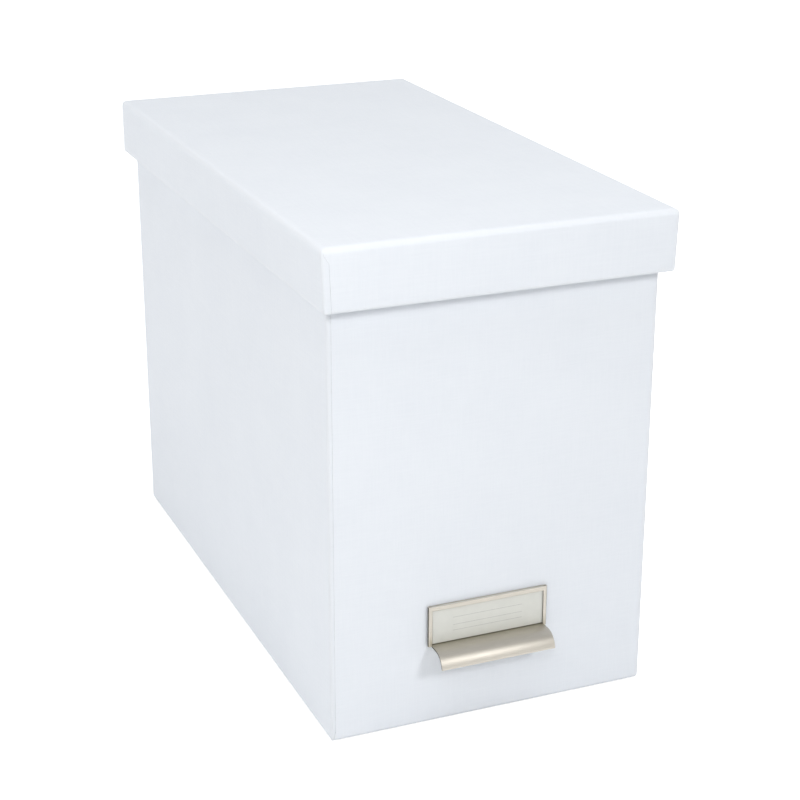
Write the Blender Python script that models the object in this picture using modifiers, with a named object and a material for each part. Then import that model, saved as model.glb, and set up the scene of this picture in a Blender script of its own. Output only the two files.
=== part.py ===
"""A hanging file box: a wrapped board box with a lift-off lid, steel rails and a stamped label holder.

The box and its lid are rigid board trays covered in embossed paper. Hanging folders hook on two folded steel
rails along the short walls. A label holder with a curved pull is clinched to the front wall.
Lengths are in metres. Z is up, the front faces -Y, and the origin is the centre of the underside.
"""

import math
from dataclasses import dataclass

import bmesh
import bpy

# The closed box
LID_WIDTH = 0.190
LID_LENGTH = 0.355
TOTAL_HEIGHT = 0.2665
SKIRT_DEPTH = 0.0325
LID_SIDE_OVERHANG = 0.0055
LID_END_OVERHANG = 0.0085

# Board and paper
BODY_BOARD = 0.0025
LID_BOARD = 0.0025
WRAP_PAPER = 0.00035
FLAP_PAPER = 0.0003
LINING_PAPER = 0.0003
BASE_PAPER = 0.0003
STAY_PAPER = 0.0002
BODY_CORNER_RADIUS = 0.0015
LID_CORNER_RADIUS = 0.0013
BODY_PANEL_BEND = 0.0025
LID_PANEL_BEND = 0.0033
BODY_RIM_ROUND_SHARE = 0.33
LID_RIM_ROUND_SHARE = 0.41
INSIDE_RADIUS = 0.0003

# How the paper is cut and folded
BODY_TURN_IN = 0.018
LID_TURN_IN = 0.014
TURN_UNDER = 0.015
BODY_FLAP_SETBACK = 0.0008
LID_FLAP_SETBACK = 0.0025
FLAP_RUN_IN = 0.0036
FLAP_EDGE = 0.00015
STAY_LEG = 0.018
BASE_MARGIN = 0.003
BUTT_JOINT = 0.0003

# Air between pieces
GLUE_LINE = 0.0002
STAY_GLUE = 0.00015
SEAT_GAP = 0.0003
FIT_GAP = 0.0004

# Rails for the folders' hooks, which come out 311 mm apart over their fins
RAIL_SHEET = 0.001
RAIL_BEND = 0.0015
RAIL_DROP = 0.0034
RAIL_FLANGE_HEIGHT = 0.023
RAIL_TROUGH = 0.008
RAIL_FIN_HEIGHT = 0.010
RAIL_END_GAP = 0.003
RAIL_CORNER_RADIUS = 0.004

# Rivets of the rails
RIVET_SHANK_RADIUS = 0.0016
RIVET_HEAD_RADIUS = 0.0035
RIVET_HEAD_HEIGHT = 0.0007
RIVET_CROWN_SHARE = 0.55
RIVET_SHOULDER_SHARES = (0.88, 0.67)
RIVET_CLINCH_RADIUS = 0.0028
RIVET_CLINCH_HEIGHT = 0.0009
RIVET_BORE_RADIUS = 0.0008
RIVET_BORE_DEPTH = 0.002
RIVET_INSET = 0.024
RIVET_DROP = 0.0065

# Label holder, folded from one sheet of steel
HOLDER_SHEET = 0.0007
HOLDER_WIDTH = 0.0676
HOLDER_HEIGHT = 0.0224
HOLDER_OFFSET = -0.0030
HOLDER_BOTTOM = 0.0462
HOLDER_FOLD = 0.0007
SIDE_BAR = 0.0023
TOP_BAR = 0.0024
CARD_SLOT = 0.0008
PULL_WIDTH = 0.0642
PULL_SHELF = 0.0077
PULL_RADIUS = 0.0085
PULL_TURN = 82.0
PULL_ROOT_LAP = 0.003
PRONG_WIDTH = 0.005
PRONG_CLINCH = 0.0055
PRONG_INSET = 0.0065
PRONG_LAP = 0.002
PRONG_ROW_SHARES = (0.32, 0.72)

# Label card
CARD_PAPER = 0.00035
CARD_SIDE_GAP = 0.0004
CARD_TOP_DROP = 0.0001
CARD_CORNER_RADIUS = 0.0012

# How finely curves are drawn, and how far a cutter runs past what it cuts
CORNER_STEPS = 4
BEND_STEPS = 4
PULL_STEPS = 12
ROUND_STEPS = 20
NOSE_STEPS = 3
OVERRUN = 0.002
MERGE_DISTANCE = 0.00001
SHARP_ANGLE = 30.0

MATERIALS = {
    "grey_board": ((0.30, 0.29, 0.27), 0.0, 0.9),
    "stay_tape": ((0.55, 0.47, 0.36), 0.0, 0.85),
    "linen_paper": ((0.82, 0.85, 0.90), 0.0, 0.72),
    "lining_paper": ((0.78, 0.79, 0.80), 0.0, 0.8),
    "label_card": ((0.60, 0.60, 0.56), 0.0, 0.75),
    "satin_nickel": ((0.70, 0.66, 0.57), 1.0, 0.32),
    "rail_steel": ((0.62, 0.62, 0.62), 1.0, 0.38),
}


@dataclass(frozen=True)
class Tray:
    """A wrapped board tray that opens upwards. The body is one, and the lid is one turned over.

    Its outside is measured over the paper. A depth is measured inwards from there.
    """

    name: str
    width: float
    length: float
    height: float
    board: float
    corner_radius: float
    panel_bend: float
    rim_round_share: float
    turn_in: float
    flap_setback: float

    @property
    def half_x(self):
        """Half the width of the outside."""
        return self.width / 2

    @property
    def half_y(self):
        """Half the length of the outside, under the end flaps."""
        return self.length / 2 - FLAP_PAPER

    @property
    def board_outside(self):
        """Depth of the board's outer face, behind the paper and the corner stays."""
        return WRAP_PAPER + STAY_PAPER + 2 * STAY_GLUE

    @property
    def board_inside(self):
        """Depth of the board's inner face."""
        return self.board_outside + self.board

    @property
    def wall(self):
        """Thickness of a wall over its paper, where the paper is turned in."""
        return self.board_inside + GLUE_LINE + WRAP_PAPER

    @property
    def lining_face(self):
        """Depth of the lining's inner face."""
        return self.board_inside + GLUE_LINE + LINING_PAPER

    @property
    def rim_bend(self):
        """Radius of the paper's bends over the rim."""
        return self.wall * self.rim_round_share

    @property
    def panel_low(self):
        """Height of the board panel's outer face over the outside."""
        return WRAP_PAPER + GLUE_LINE

    @property
    def panel_high(self):
        """Height of the board panel's inner face."""
        return self.panel_low + self.board

    @property
    def panel_lining(self):
        """Height of the lining's face over the panel."""
        return self.panel_high + GLUE_LINE + LINING_PAPER


LID = Tray(
    "lid", LID_WIDTH, LID_LENGTH, SKIRT_DEPTH, LID_BOARD, LID_CORNER_RADIUS, LID_PANEL_BEND,
    LID_RIM_ROUND_SHARE, LID_TURN_IN, LID_FLAP_SETBACK,
)
BODY_BASE = BASE_PAPER + GLUE_LINE
RIM_HEIGHT = TOTAL_HEIGHT - LID.panel_lining - SEAT_GAP
BODY = Tray(
    "body", LID_WIDTH - 2 * LID_SIDE_OVERHANG, LID_LENGTH - 2 * LID_END_OVERHANG, RIM_HEIGHT - BODY_BASE,
    BODY_BOARD, BODY_CORNER_RADIUS, BODY_PANEL_BEND, BODY_RIM_ROUND_SHARE, BODY_TURN_IN, BODY_FLAP_SETBACK,
)
FRONT_FACE = BODY.length / 2
HOLDER_PROUD = 2 * HOLDER_SHEET + CARD_SLOT
FLANGE_FACE = BODY.half_y - BODY.wall - SEAT_GAP
RAIL_TOP = RIM_HEIGHT - RAIL_DROP
RAIL_LENGTH = 2 * (BODY.half_x - BODY.wall - RAIL_END_GAP)
RIVET_HEIGHT = RAIL_TOP - RIVET_DROP
PRONG_REACH = SEAT_GAP + FLAP_PAPER + BODY.lining_face + SEAT_GAP


# Paths and outlines

def arc(centre, radius, start, end, steps):
    """Points along an arc from one angle to another, in degrees."""
    angles = [math.radians(start + (end - start) * k / steps) for k in range(steps + 1)]
    return [(centre[0] + radius * math.cos(a), centre[1] + radius * math.sin(a)) for a in angles]


def offset_path(path, distance):
    """An open path moved to its right, with mitred corners."""
    normals = []
    for (x0, y0), (x1, y1) in zip(path, path[1:]):
        length = math.hypot(x1 - x0, y1 - y0)
        normals.append(((y1 - y0) / length, (x0 - x1) / length))
    moved = []
    for k, (x, y) in enumerate(path):
        before = normals[max(k - 1, 0)]
        after = normals[min(k, len(normals) - 1)]
        across = (before[0] + after[0], before[1] + after[1])
        reach = 2 * distance / (across[0] ** 2 + across[1] ** 2)
        moved.append((x + reach * across[0], y + reach * across[1]))
    return moved


def folded_path(corners, radius, steps):
    """A path through the corners, with each inner corner rounded by an arc."""
    path = [corners[0]]
    for before, corner, after in zip(corners, corners[1:], corners[2:]):
        come = math.atan2(corner[1] - before[1], corner[0] - before[0])
        go = math.atan2(after[1] - corner[1], after[0] - corner[0])
        turn = (go - come + math.pi) % (2 * math.pi) - math.pi
        trim = radius * math.tan(abs(turn) / 2)
        side = math.copysign(math.pi / 2, turn)
        start = (corner[0] - trim * math.cos(come), corner[1] - trim * math.sin(come))
        centre = (start[0] + radius * math.cos(come + side), start[1] + radius * math.sin(come + side))
        first = math.degrees(come - side)
        path += arc(centre, radius, first, first + math.degrees(turn), steps)
    return [*path, corners[-1]]


def sheet_outline(path, thickness):
    """The outline of a folded sheet seen end on, with round noses at its ends."""
    right = offset_path(path, thickness / 2)
    left = offset_path(path, -thickness / 2)
    ends = []
    for tip, behind in ((path[-1], path[-2]), (path[0], path[1])):
        facing = math.degrees(math.atan2(tip[1] - behind[1], tip[0] - behind[0]))
        ends.append(arc(tip, thickness / 2, facing - 90, facing + 90, 2 * NOSE_STEPS)[1:-1])
    return [*right, *ends[0], *reversed(left), *ends[1]]


def rounded_rectangle(low, high, radius):
    """Points round a rectangle with rounded corners."""
    points = []
    centres = (
        (high[0] - radius, low[1] + radius), (high[0] - radius, high[1] - radius),
        (low[0] + radius, high[1] - radius), (low[0] + radius, low[1] + radius),
    )
    for quarter, centre in enumerate(centres):
        points += arc(centre, radius, 90 * quarter - 90, 90 * quarter, CORNER_STEPS)
    return points


def ring(tray, depth, z, step=0.0, setback=0.0, flaps=False):
    """Points round a tray at one height and depth, with the raised end flaps if it has them."""
    half_x = tray.half_x - depth
    half_y = tray.half_y - depth
    radius = max(tray.corner_radius - depth, INSIDE_RADIUS)
    straight = half_x - radius
    edge = min(tray.half_x - tray.corner_radius - setback, straight) - FLAP_EDGE
    points = []
    for quarter, (side_x, side_y) in enumerate(((1, -1), (1, 1), (-1, 1), (-1, -1))):
        centre = (side_x * straight, side_y * (half_y - radius))
        points += arc(centre, radius, 90 * quarter - 90, 90 * quarter, CORNER_STEPS)
        if flaps and side_x == side_y:
            raised = side_x * (edge - FLAP_EDGE), side_y * (half_y + step)
            points += [(side_x * edge, side_y * half_y), raised]
            points += [(-raised[0], raised[1]), (-side_x * edge, side_y * half_y)]
    return [(x, y, z) for x, y in points]


# Meshes and objects

def new_mesh(name, points_and_faces):
    """A mesh from points and faces, with its faces turned outwards and its curves shaded smooth."""
    points, faces = points_and_faces
    shape = bmesh.new()
    corners = [shape.verts.new(point) for point in points]
    for face in faces:
        shape.faces.new([corners[k] for k in face])
    bmesh.ops.recalc_face_normals(shape, faces=shape.faces)
    mesh = bpy.data.meshes.new(name)
    shape.to_mesh(mesh)
    shape.free()
    mesh.shade_smooth()
    mesh.set_sharp_from_angle(angle=math.radians(SHARP_ANGLE))
    return mesh


def loft(rings, closed):
    """Points and faces of a skin over rings of equal count, joined end to end or capped."""
    count = len(rings[0])
    points = [point for one in rings for point in one]
    faces = []
    for k in range(len(rings) if closed else len(rings) - 1):
        low, high = k * count, (k + 1) % len(rings) * count
        for i in range(count):
            after = (i + 1) % count
            faces.append((low + i, low + after, high + after, high + i))
    if not closed:
        faces.append(tuple(range(count)))
        faces.append(tuple(range(len(points) - count, len(points))))
    return points, faces


def prism(outline, low, high, place):
    """Points and faces of an outline carried from low to high. place(a, b, c) gives a point in space."""
    return loft([[place(a, b, end) for a, b in outline] for end in (low, high)], closed=False)


def along_x(a, b, c):
    """A point of an outline drawn in Y and Z."""
    return (c, a, b)


def along_z(a, b, c):
    """A point of an outline drawn in X and Y."""
    return (a, b, c)


def material(name):
    """The named material, made when it is first asked for."""
    made = bpy.data.materials.get(name)
    if made is None:
        colour, metallic, roughness = MATERIALS[name]
        made = bpy.data.materials.new(name)
        made.use_nodes = True
        made.diffuse_color = (*colour, 1.0)
        shader = made.node_tree.nodes["Principled BSDF"]
        shader.inputs["Base Color"].default_value = (*colour, 1.0)
        shader.inputs["Metallic"].default_value = metallic
        shader.inputs["Roughness"].default_value = roughness
    return made


def new_object(name, mesh, finish, parent):
    """A visible piece of the box."""
    made = bpy.data.objects.new(name, mesh)
    bpy.data.collections["hanging_file_box"].objects.link(made)
    mesh.materials.append(material(finish))
    made.parent = parent
    return made


def new_helper(name, mesh, parent=None):
    """A hidden shape that cuts a piece or is joined to it."""
    made = bpy.data.objects.new(name, mesh)
    bpy.data.collections["cutters"].objects.link(made)
    made.hide_render = True
    made.display_type = "WIRE"
    made.parent = parent
    return made


def box_mesh(name, low, high):
    """A box between two corners, from the cube primitive."""
    shape = bmesh.new()
    bmesh.ops.create_cube(shape, size=1.0)
    for corner in shape.verts:
        corner.co = [(a + b) / 2 + (b - a) * c for a, b, c in zip(low, high, corner.co)]
    mesh = bpy.data.meshes.new(name)
    shape.to_mesh(mesh)
    shape.free()
    return mesh


def boolean(piece, operation, helper):
    """Cuts a helper out of a piece, or joins it on."""
    modifier = piece.modifiers.new(f"{operation.lower()} {helper.name}", "BOOLEAN")
    modifier.operation = operation
    modifier.object = helper
    modifier.solver = "EXACT"


def new_empty(name, location, rotation=(0.0, 0.0, 0.0)):
    """The frame that a group of pieces is placed in."""
    made = bpy.data.objects.new(name, None)
    bpy.data.collections["hanging_file_box"].objects.link(made)
    made.location = location
    made.rotation_euler = rotation
    return made


# The two trays

def make_board(tray, parent):
    """One blank of board, folded up round its panel. Its walls meet in butt joints at the corners."""
    rim = tray.height - WRAP_PAPER - GLUE_LINE
    outside, inside = tray.board_outside, tray.board_inside
    fold = tray.panel_bend - outside
    edge = tray.rim_bend - WRAP_PAPER - GLUE_LINE
    path = arc((outside + fold, tray.panel_low + fold), fold, 270, 180, BEND_STEPS)
    path += arc((outside + edge, rim - edge), edge, 180, 90, BEND_STEPS)
    path += arc((inside - edge, rim - edge), edge, 90, 0, BEND_STEPS)
    path.append((inside, tray.panel_high))
    mesh = new_mesh(f"{tray.name}_board", loft([ring(tray, *point) for point in path], closed=False))
    board = new_object(f"{tray.name}_board", mesh, "grey_board", parent)
    joint = tray.half_x - inside
    for side_x in (-1, 1):
        for side_y in (-1, 1):
            name = f"{tray.name}_butt_joint_{side_x}_{side_y}"
            x = sorted((side_x * joint, side_x * (joint - BUTT_JOINT)))
            y = sorted((side_y * (tray.half_y - inside - OVERRUN), side_y * (tray.half_y + OVERRUN)))
            slot = box_mesh(name, (x[0], y[0], tray.panel_high), (x[1], y[1], tray.height + OVERRUN))
            boolean(board, "DIFFERENCE", new_helper(name, slot, parent))
    return board


def make_stays(tray, parent, turned_over):
    """Paper tapes round the four corners, between the board and the wrap."""
    outer = WRAP_PAPER + STAY_GLUE
    inner = outer + STAY_PAPER
    for side_x in (-1, 1):
        for side_y in (-1, 1):
            outline = []
            for depth in (outer, inner):
                radius = tray.corner_radius - depth
                half_x, half_y = tray.half_x - depth, tray.half_y - depth
                corner = [(half_x, tray.half_y - STAY_LEG)]
                corner += arc((half_x - radius, half_y - radius), radius, 0, 90, CORNER_STEPS)
                corner.append((tray.half_x - STAY_LEG, half_y))
                outline += corner if depth == outer else reversed(corner)
            outline = [(side_x * x, side_y * y) for x, y in outline]
            left = (side_x > 0) == turned_over
            name = f"{tray.name}_stay_{'front' if side_y < 0 else 'back'}_{'left' if left else 'right'}"
            shape = prism(outline, tray.panel_bend, tray.height - tray.rim_bend, along_z)
            new_object(name, new_mesh(name, shape), "stay_tape", parent)


def wrap_profile(tray):
    """The wrap's outer face from its end under the panel, up the wall and over the rim to its end inside.

    Each point is a depth, a height, how far the end flap is raised there and how far it is set back.
    """
    bend, rim, top = tray.panel_bend, tray.rim_bend, tray.height
    under = [(TURN_UNDER, 0.0), *arc((bend, bend), bend, 270, 180, BEND_STEPS)]
    over = arc((rim, top - rim), rim, 180, 90, BEND_STEPS)
    inside = [*arc((tray.wall - rim, top - rim), rim, 90, 0, BEND_STEPS), (tray.wall, top - tray.turn_in)]
    profile = [(*point, 0.0, 0.0) for point in under]
    profile.append((0.0, bend + FLAP_RUN_IN, FLAP_PAPER, tray.flap_setback))
    for k, point in enumerate(over):
        profile.append((*point, FLAP_PAPER * (1 - k / BEND_STEPS), tray.flap_setback))
    return [*profile, *((*point, 0.0, tray.flap_setback) for point in inside)]


def make_wrap(tray, parent, covers_panel):
    """The embossed paper. Its end flaps lie over the ears that the side flaps turn round the corners."""
    profile = wrap_profile(tray)
    behind = offset_path([point[:2] for point in profile], WRAP_PAPER)
    rings = [ring(tray, *point, flaps=True) for point in profile]
    rings += [ring(tray, *point, 0.0, tray.flap_setback, flaps=True) for point in reversed(behind)]
    mesh = new_mesh(f"{tray.name}_wrap", loft(rings, closed=not covers_panel))
    return new_object(f"{tray.name}_wrap", mesh, "linen_paper", parent)


def make_slab(name, tray, depth, low, high, finish, parent):
    """A flat sheet with the tray's outline, set in from its outside."""
    mesh = new_mesh(name, loft([ring(tray, depth, low), ring(tray, depth, high)], closed=False))
    return new_object(name, mesh, finish, parent)


def make_lining(tray, parent, covers_panel):
    """The paper inside a tray. It meets the turned-in wrap edge to edge."""
    top = tray.height - tray.turn_in - SEAT_GAP
    glued, face = tray.board_inside + GLUE_LINE, tray.lining_face
    foot = tray.panel_high + GLUE_LINE
    floor = tray.panel_lining if covers_panel else foot
    path = [(glued, foot), (glued, top), (face, top), (face, floor)]
    mesh = new_mesh(f"{tray.name}_lining", loft([ring(tray, *p) for p in path], closed=not covers_panel))
    return new_object(f"{tray.name}_lining", mesh, "lining_paper", parent)


# The rails and their rivets

def make_rail(name, side):
    """A folded steel rail: a flange on the short wall, a web inwards and a fin up for the hooks."""
    flange = FLANGE_FACE - RAIL_SHEET / 2
    fin = FLANGE_FACE - RAIL_SHEET - RAIL_TROUGH - RAIL_SHEET / 2
    web = RAIL_TOP - RAIL_FLANGE_HEIGHT + RAIL_SHEET / 2
    nose = RAIL_SHEET / 2
    corners = [
        (side * flange, RAIL_TOP - nose), (side * flange, web), (side * fin, web),
        (side * fin, web + RAIL_FIN_HEIGHT - nose),
    ]
    outline = sheet_outline(folded_path(corners, RAIL_BEND, BEND_STEPS), RAIL_SHEET)
    mesh = new_mesh(name, prism(outline, -RAIL_LENGTH / 2, RAIL_LENGTH / 2, along_x))
    rail = new_object(name, mesh, "rail_steel", None)
    for end in (-1, 1):
        for top, reach in ((RAIL_TOP, flange), (web + RAIL_FIN_HEIGHT, fin)):
            round_corner(rail, f"{name}_corner_{end}_{top:.3f}", end, top, side * reach)
    return rail


def round_corner(rail, name, end, top, y):
    """Rounds one upper corner of a rail with a cutter that leaves a quarter circle."""
    radius, x = RAIL_CORNER_RADIUS, RAIL_LENGTH / 2
    outline = arc((x - radius, top - radius), radius, 0, 90, 2 * CORNER_STEPS)
    outline += [(x - radius, top + OVERRUN), (x + OVERRUN, top + OVERRUN), (x + OVERRUN, top - radius)]
    low, high = y - RAIL_SHEET, y + RAIL_SHEET
    shape = prism([(end * a, b) for a, b in outline], low, high, lambda a, b, c: (a, c, b))
    boolean(rail, "DIFFERENCE", new_helper(name, new_mesh(name, shape)))


def rivet_places():
    """Side of the box, and X, of each rivet."""
    reach = RAIL_LENGTH / 2 - RIVET_INSET
    return [(side, x) for side in (-1, 1) for x in (-reach, reach)]


def make_rivet(name, side, x):
    """A semi-tubular rivet, with its low head outside and its rolled end on the rail's flange."""
    head = FRONT_FACE + SEAT_GAP
    clinch = FLANGE_FACE - RAIL_SHEET - SEAT_GAP
    tip = clinch - RIVET_CLINCH_HEIGHT
    crown = head + RIVET_HEAD_HEIGHT
    shoulder, lift = RIVET_SHOULDER_SHARES
    profile = [
        (0.0, crown), (RIVET_HEAD_RADIUS * RIVET_CROWN_SHARE, crown),
        (RIVET_HEAD_RADIUS * shoulder, head + RIVET_HEAD_HEIGHT * lift), (RIVET_HEAD_RADIUS, head),
        (RIVET_SHANK_RADIUS, head), (RIVET_SHANK_RADIUS, clinch), (RIVET_CLINCH_RADIUS, clinch),
        (RIVET_CLINCH_RADIUS, (clinch + tip) / 2), (RIVET_SHANK_RADIUS, tip), (RIVET_BORE_RADIUS, tip),
        (RIVET_BORE_RADIUS, tip + RIVET_BORE_DEPTH), (0.0, tip + RIVET_BORE_DEPTH),
    ]
    mesh = bpy.data.meshes.new(name)
    edges = [(k, k + 1) for k in range(len(profile) - 1)]
    mesh.from_pydata([(radius, 0.0, height) for radius, height in profile], edges, [])
    rivet = new_object(name, mesh, "rail_steel", None)
    rivet.location = (x, 0.0, RIVET_HEIGHT)
    rivet.rotation_euler = (math.radians(-90 * side), 0.0, 0.0)
    screw = rivet.modifiers.new("turn", "SCREW")
    screw.steps = ROUND_STEPS
    screw.render_steps = ROUND_STEPS
    screw.use_merge_vertices = True
    screw.merge_threshold = MERGE_DISTANCE
    screw.use_smooth_shade = True
    return rivet


def rivet_hole(side, x):
    """A cutter for the hole that a rivet passes through, in wrap, board and rail."""
    name = f"rivet_hole_{'front' if side < 0 else 'back'}_{'left' if x < 0 else 'right'}"
    shape = bmesh.new()
    low, high = FLANGE_FACE - RAIL_SHEET - OVERRUN, FRONT_FACE + OVERRUN
    radius = RIVET_SHANK_RADIUS + FIT_GAP
    bmesh.ops.create_cone(
        shape, cap_ends=True, segments=ROUND_STEPS, radius1=radius, radius2=radius, depth=high - low,
    )
    mesh = bpy.data.meshes.new(name)
    shape.to_mesh(mesh)
    shape.free()
    hole = new_helper(name, mesh)
    hole.location = (x, side * (low + high) / 2, RIVET_HEIGHT)
    hole.rotation_euler = (math.radians(90), 0.0, 0.0)
    return hole


# The label holder and its card

def holder_section():
    """The holder seen from above: back plate, folded sides and the bars that keep the card in."""
    back = -HOLDER_SHEET / 2
    bar = back - HOLDER_SHEET - CARD_SLOT
    side = (HOLDER_WIDTH - HOLDER_SHEET) / 2
    tip = HOLDER_WIDTH / 2 - SIDE_BAR + HOLDER_SHEET / 2
    corners = [(-tip, bar), (-side, bar), (-side, back), (side, back), (side, bar), (tip, bar)]
    return sheet_outline(folded_path(corners, HOLDER_FOLD, BEND_STEPS), HOLDER_SHEET)


def pull_section():
    """The pull seen from the side: a lap on the back plate, a level shelf and a curved lip."""
    back = -HOLDER_SHEET / 2
    shelf = HOLDER_SHEET / 2
    middle = PULL_RADIUS - HOLDER_SHEET / 2
    root = [(back, shelf + PULL_ROOT_LAP), (back, shelf), (-PULL_SHELF, shelf)]
    lip = arc((-PULL_SHELF, shelf - middle), middle, 90, 90 + PULL_TURN, PULL_STEPS)
    return sheet_outline([*folded_path(root, HOLDER_FOLD, BEND_STEPS)[:-1], *lip], HOLDER_SHEET)


def top_bar_section():
    """The top bar seen from the side: a flat strip with round edges, in front of the card."""
    bar = -HOLDER_PROUD + HOLDER_SHEET / 2
    nose = HOLDER_SHEET / 2
    path = [(bar, HOLDER_HEIGHT - TOP_BAR + nose), (bar, HOLDER_HEIGHT - nose)]
    return sheet_outline(path, HOLDER_SHEET)


def prong_section(side):
    """A prong seen from above: lanced out of the plate, through the wall and clinched flat inside."""
    root = HOLDER_WIDTH / 2 - PRONG_INSET
    back, clinched = -HOLDER_SHEET / 2, PRONG_REACH + HOLDER_SHEET / 2
    corners = [
        (root + HOLDER_FOLD + PRONG_LAP, back), (root, back), (root, clinched),
        (root - PRONG_CLINCH, clinched),
    ]
    outline = sheet_outline(folded_path(corners, HOLDER_FOLD, BEND_STEPS), HOLDER_SHEET)
    return [(side * a, b) for a, b in outline]


def prong_places():
    """Side, and lowest and highest Z over the holder's bottom, of each prong."""
    middles = [share * HOLDER_HEIGHT for share in PRONG_ROW_SHARES]
    return [(side, z - PRONG_WIDTH / 2, z + PRONG_WIDTH / 2) for side in (-1, 1) for z in middles]


def make_holder(parent):
    """One piece of stamped steel: plate, rolled frame, curved pull, and prongs through the front wall."""
    mesh = new_mesh("label_holder", prism(holder_section(), 0.0, HOLDER_HEIGHT, along_z))
    holder = new_object("label_holder", mesh, "satin_nickel", parent)
    root = HOLDER_WIDTH / 2 - PRONG_INSET
    tongue = PRONG_REACH + PRONG_CLINCH + HOLDER_SHEET
    for k, (side, low, high) in enumerate(prong_places()):
        name = f"prong_window_{k}"
        x = sorted((side * (root + HOLDER_FOLD), side * (root - tongue)))
        window = box_mesh(
            name, (x[0], -HOLDER_SHEET - CARD_SLOT / 2, low - FIT_GAP), (x[1], OVERRUN, high + FIT_GAP),
        )
        boolean(holder, "DIFFERENCE", new_helper(name, window, parent))
        name = f"prong_{k}"
        prong = new_mesh(name, prism(prong_section(side), low, high, along_z))
        boolean(holder, "UNION", new_helper(name, prong, parent))
    bar = HOLDER_WIDTH / 2 - SIDE_BAR / 2
    top = new_mesh("top_bar", prism(top_bar_section(), -bar, bar, along_x))
    boolean(holder, "UNION", new_helper("top_bar", top, parent))
    pull = new_mesh("pull", prism(pull_section(), -PULL_WIDTH / 2, PULL_WIDTH / 2, along_x))
    boolean(holder, "UNION", new_helper("pull", pull, parent))
    return holder


def prong_slot(k, side, low, high):
    """A cutter for the slot that a prong passes through, in wrap, board and lining."""
    name = f"prong_slot_{k}"
    middle = side * (HOLDER_WIDTH / 2 - PRONG_INSET)
    across = HOLDER_SHEET / 2 + FIT_GAP
    depth = FLAP_PAPER + BODY.lining_face + OVERRUN
    near, away = (middle - across, -OVERRUN, low - FIT_GAP), (middle + across, depth, high + FIT_GAP)
    slot = box_mesh(name, near, away)
    made = new_helper(name, slot)
    made.location = (HOLDER_OFFSET, -FRONT_FACE, HOLDER_BOTTOM)
    return made


def make_card(parent):
    """The card, loose between the back plate and the bars."""
    half = HOLDER_WIDTH / 2 - HOLDER_SHEET - CARD_SIDE_GAP
    low, high = HOLDER_SHEET + SEAT_GAP, HOLDER_HEIGHT - CARD_TOP_DROP
    back = -HOLDER_SHEET - (CARD_SLOT - CARD_PAPER) / 2
    outline = rounded_rectangle((-half, low), (half, high), CARD_CORNER_RADIUS)
    shape = prism(outline, back - CARD_PAPER, back, lambda a, b, c: (a, c, b))
    return new_object("label_card", new_mesh("label_card", shape), "label_card", parent)


# The whole box

def clear_scene():
    """Empties the scene and makes the two collections."""
    for old in list(bpy.data.objects):
        bpy.data.objects.remove(old)
    for name in ("hanging_file_box", "cutters"):
        bpy.context.scene.collection.children.link(bpy.data.collections.new(name))


def make_body():
    """The body with its papers, rails and rivets."""
    frame = new_empty("body_frame", (0.0, 0.0, BODY_BASE))
    board = make_board(BODY, frame)
    make_stays(BODY, frame, turned_over=False)
    wrap = make_wrap(BODY, frame, covers_panel=False)
    lining = make_lining(BODY, frame, covers_panel=False)
    make_slab("base_sheet", BODY, BASE_MARGIN, 0.0, BASE_PAPER, "lining_paper", None)
    liner = BODY.panel_high + GLUE_LINE
    margin = BODY.lining_face + GLUE_LINE
    make_slab("floor_liner", BODY, margin, liner, liner + LINING_PAPER, "lining_paper", frame)
    rails = {-1: make_rail("front_rail", -1), 1: make_rail("back_rail", 1)}
    for side, x in rivet_places():
        wall = "front" if side < 0 else "back"
        make_rivet(f"{wall}_rail_rivet_{'left' if x < 0 else 'right'}", side, x)
        hole = rivet_hole(side, x)
        for piece in (wrap, board, rails[side]):
            boolean(piece, "DIFFERENCE", hole)
    for k, place in enumerate(prong_places()):
        slot = prong_slot(k, *place)
        for piece in (wrap, board, lining):
            boolean(piece, "DIFFERENCE", slot)


def make_label():
    """The label holder on the front wall, and the card in it."""
    frame = new_empty("label_frame", (HOLDER_OFFSET, -FRONT_FACE - SEAT_GAP, HOLDER_BOTTOM))
    make_holder(frame)
    make_card(frame)


def make_lid():
    """The lid: a shallow tray turned over, resting on the body's rim."""
    frame = new_empty("lid_frame", (0.0, 0.0, TOTAL_HEIGHT), (0.0, math.pi, 0.0))
    make_board(LID, frame)
    make_stays(LID, frame, turned_over=True)
    make_wrap(LID, frame, covers_panel=True)
    make_lining(LID, frame, covers_panel=True)


def main():
    """Builds the closed box."""
    clear_scene()
    make_body()
    make_label()
    make_lid()


main()
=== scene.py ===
"""Looks for a hanging file box: embossed paper, formed steel and a lined inside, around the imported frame.

Lengths are in metres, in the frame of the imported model: Z is up, the front faces -Y and the origin is the
centre of the underside. Each class below is one sub-assembly. It reads its places from the frame, builds its
finer meshes and dresses them.
"""

from __future__ import annotations

import logging
import math
from collections.abc import Callable, Sequence
from dataclasses import dataclass, field, replace
from enum import Enum

import bmesh
import bpy
from bpy.types import Material, Mesh, Node, NodeOutputs, NodeSocket, NodeTree, Object, Scene
from mathutils import Matrix, Vector


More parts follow.
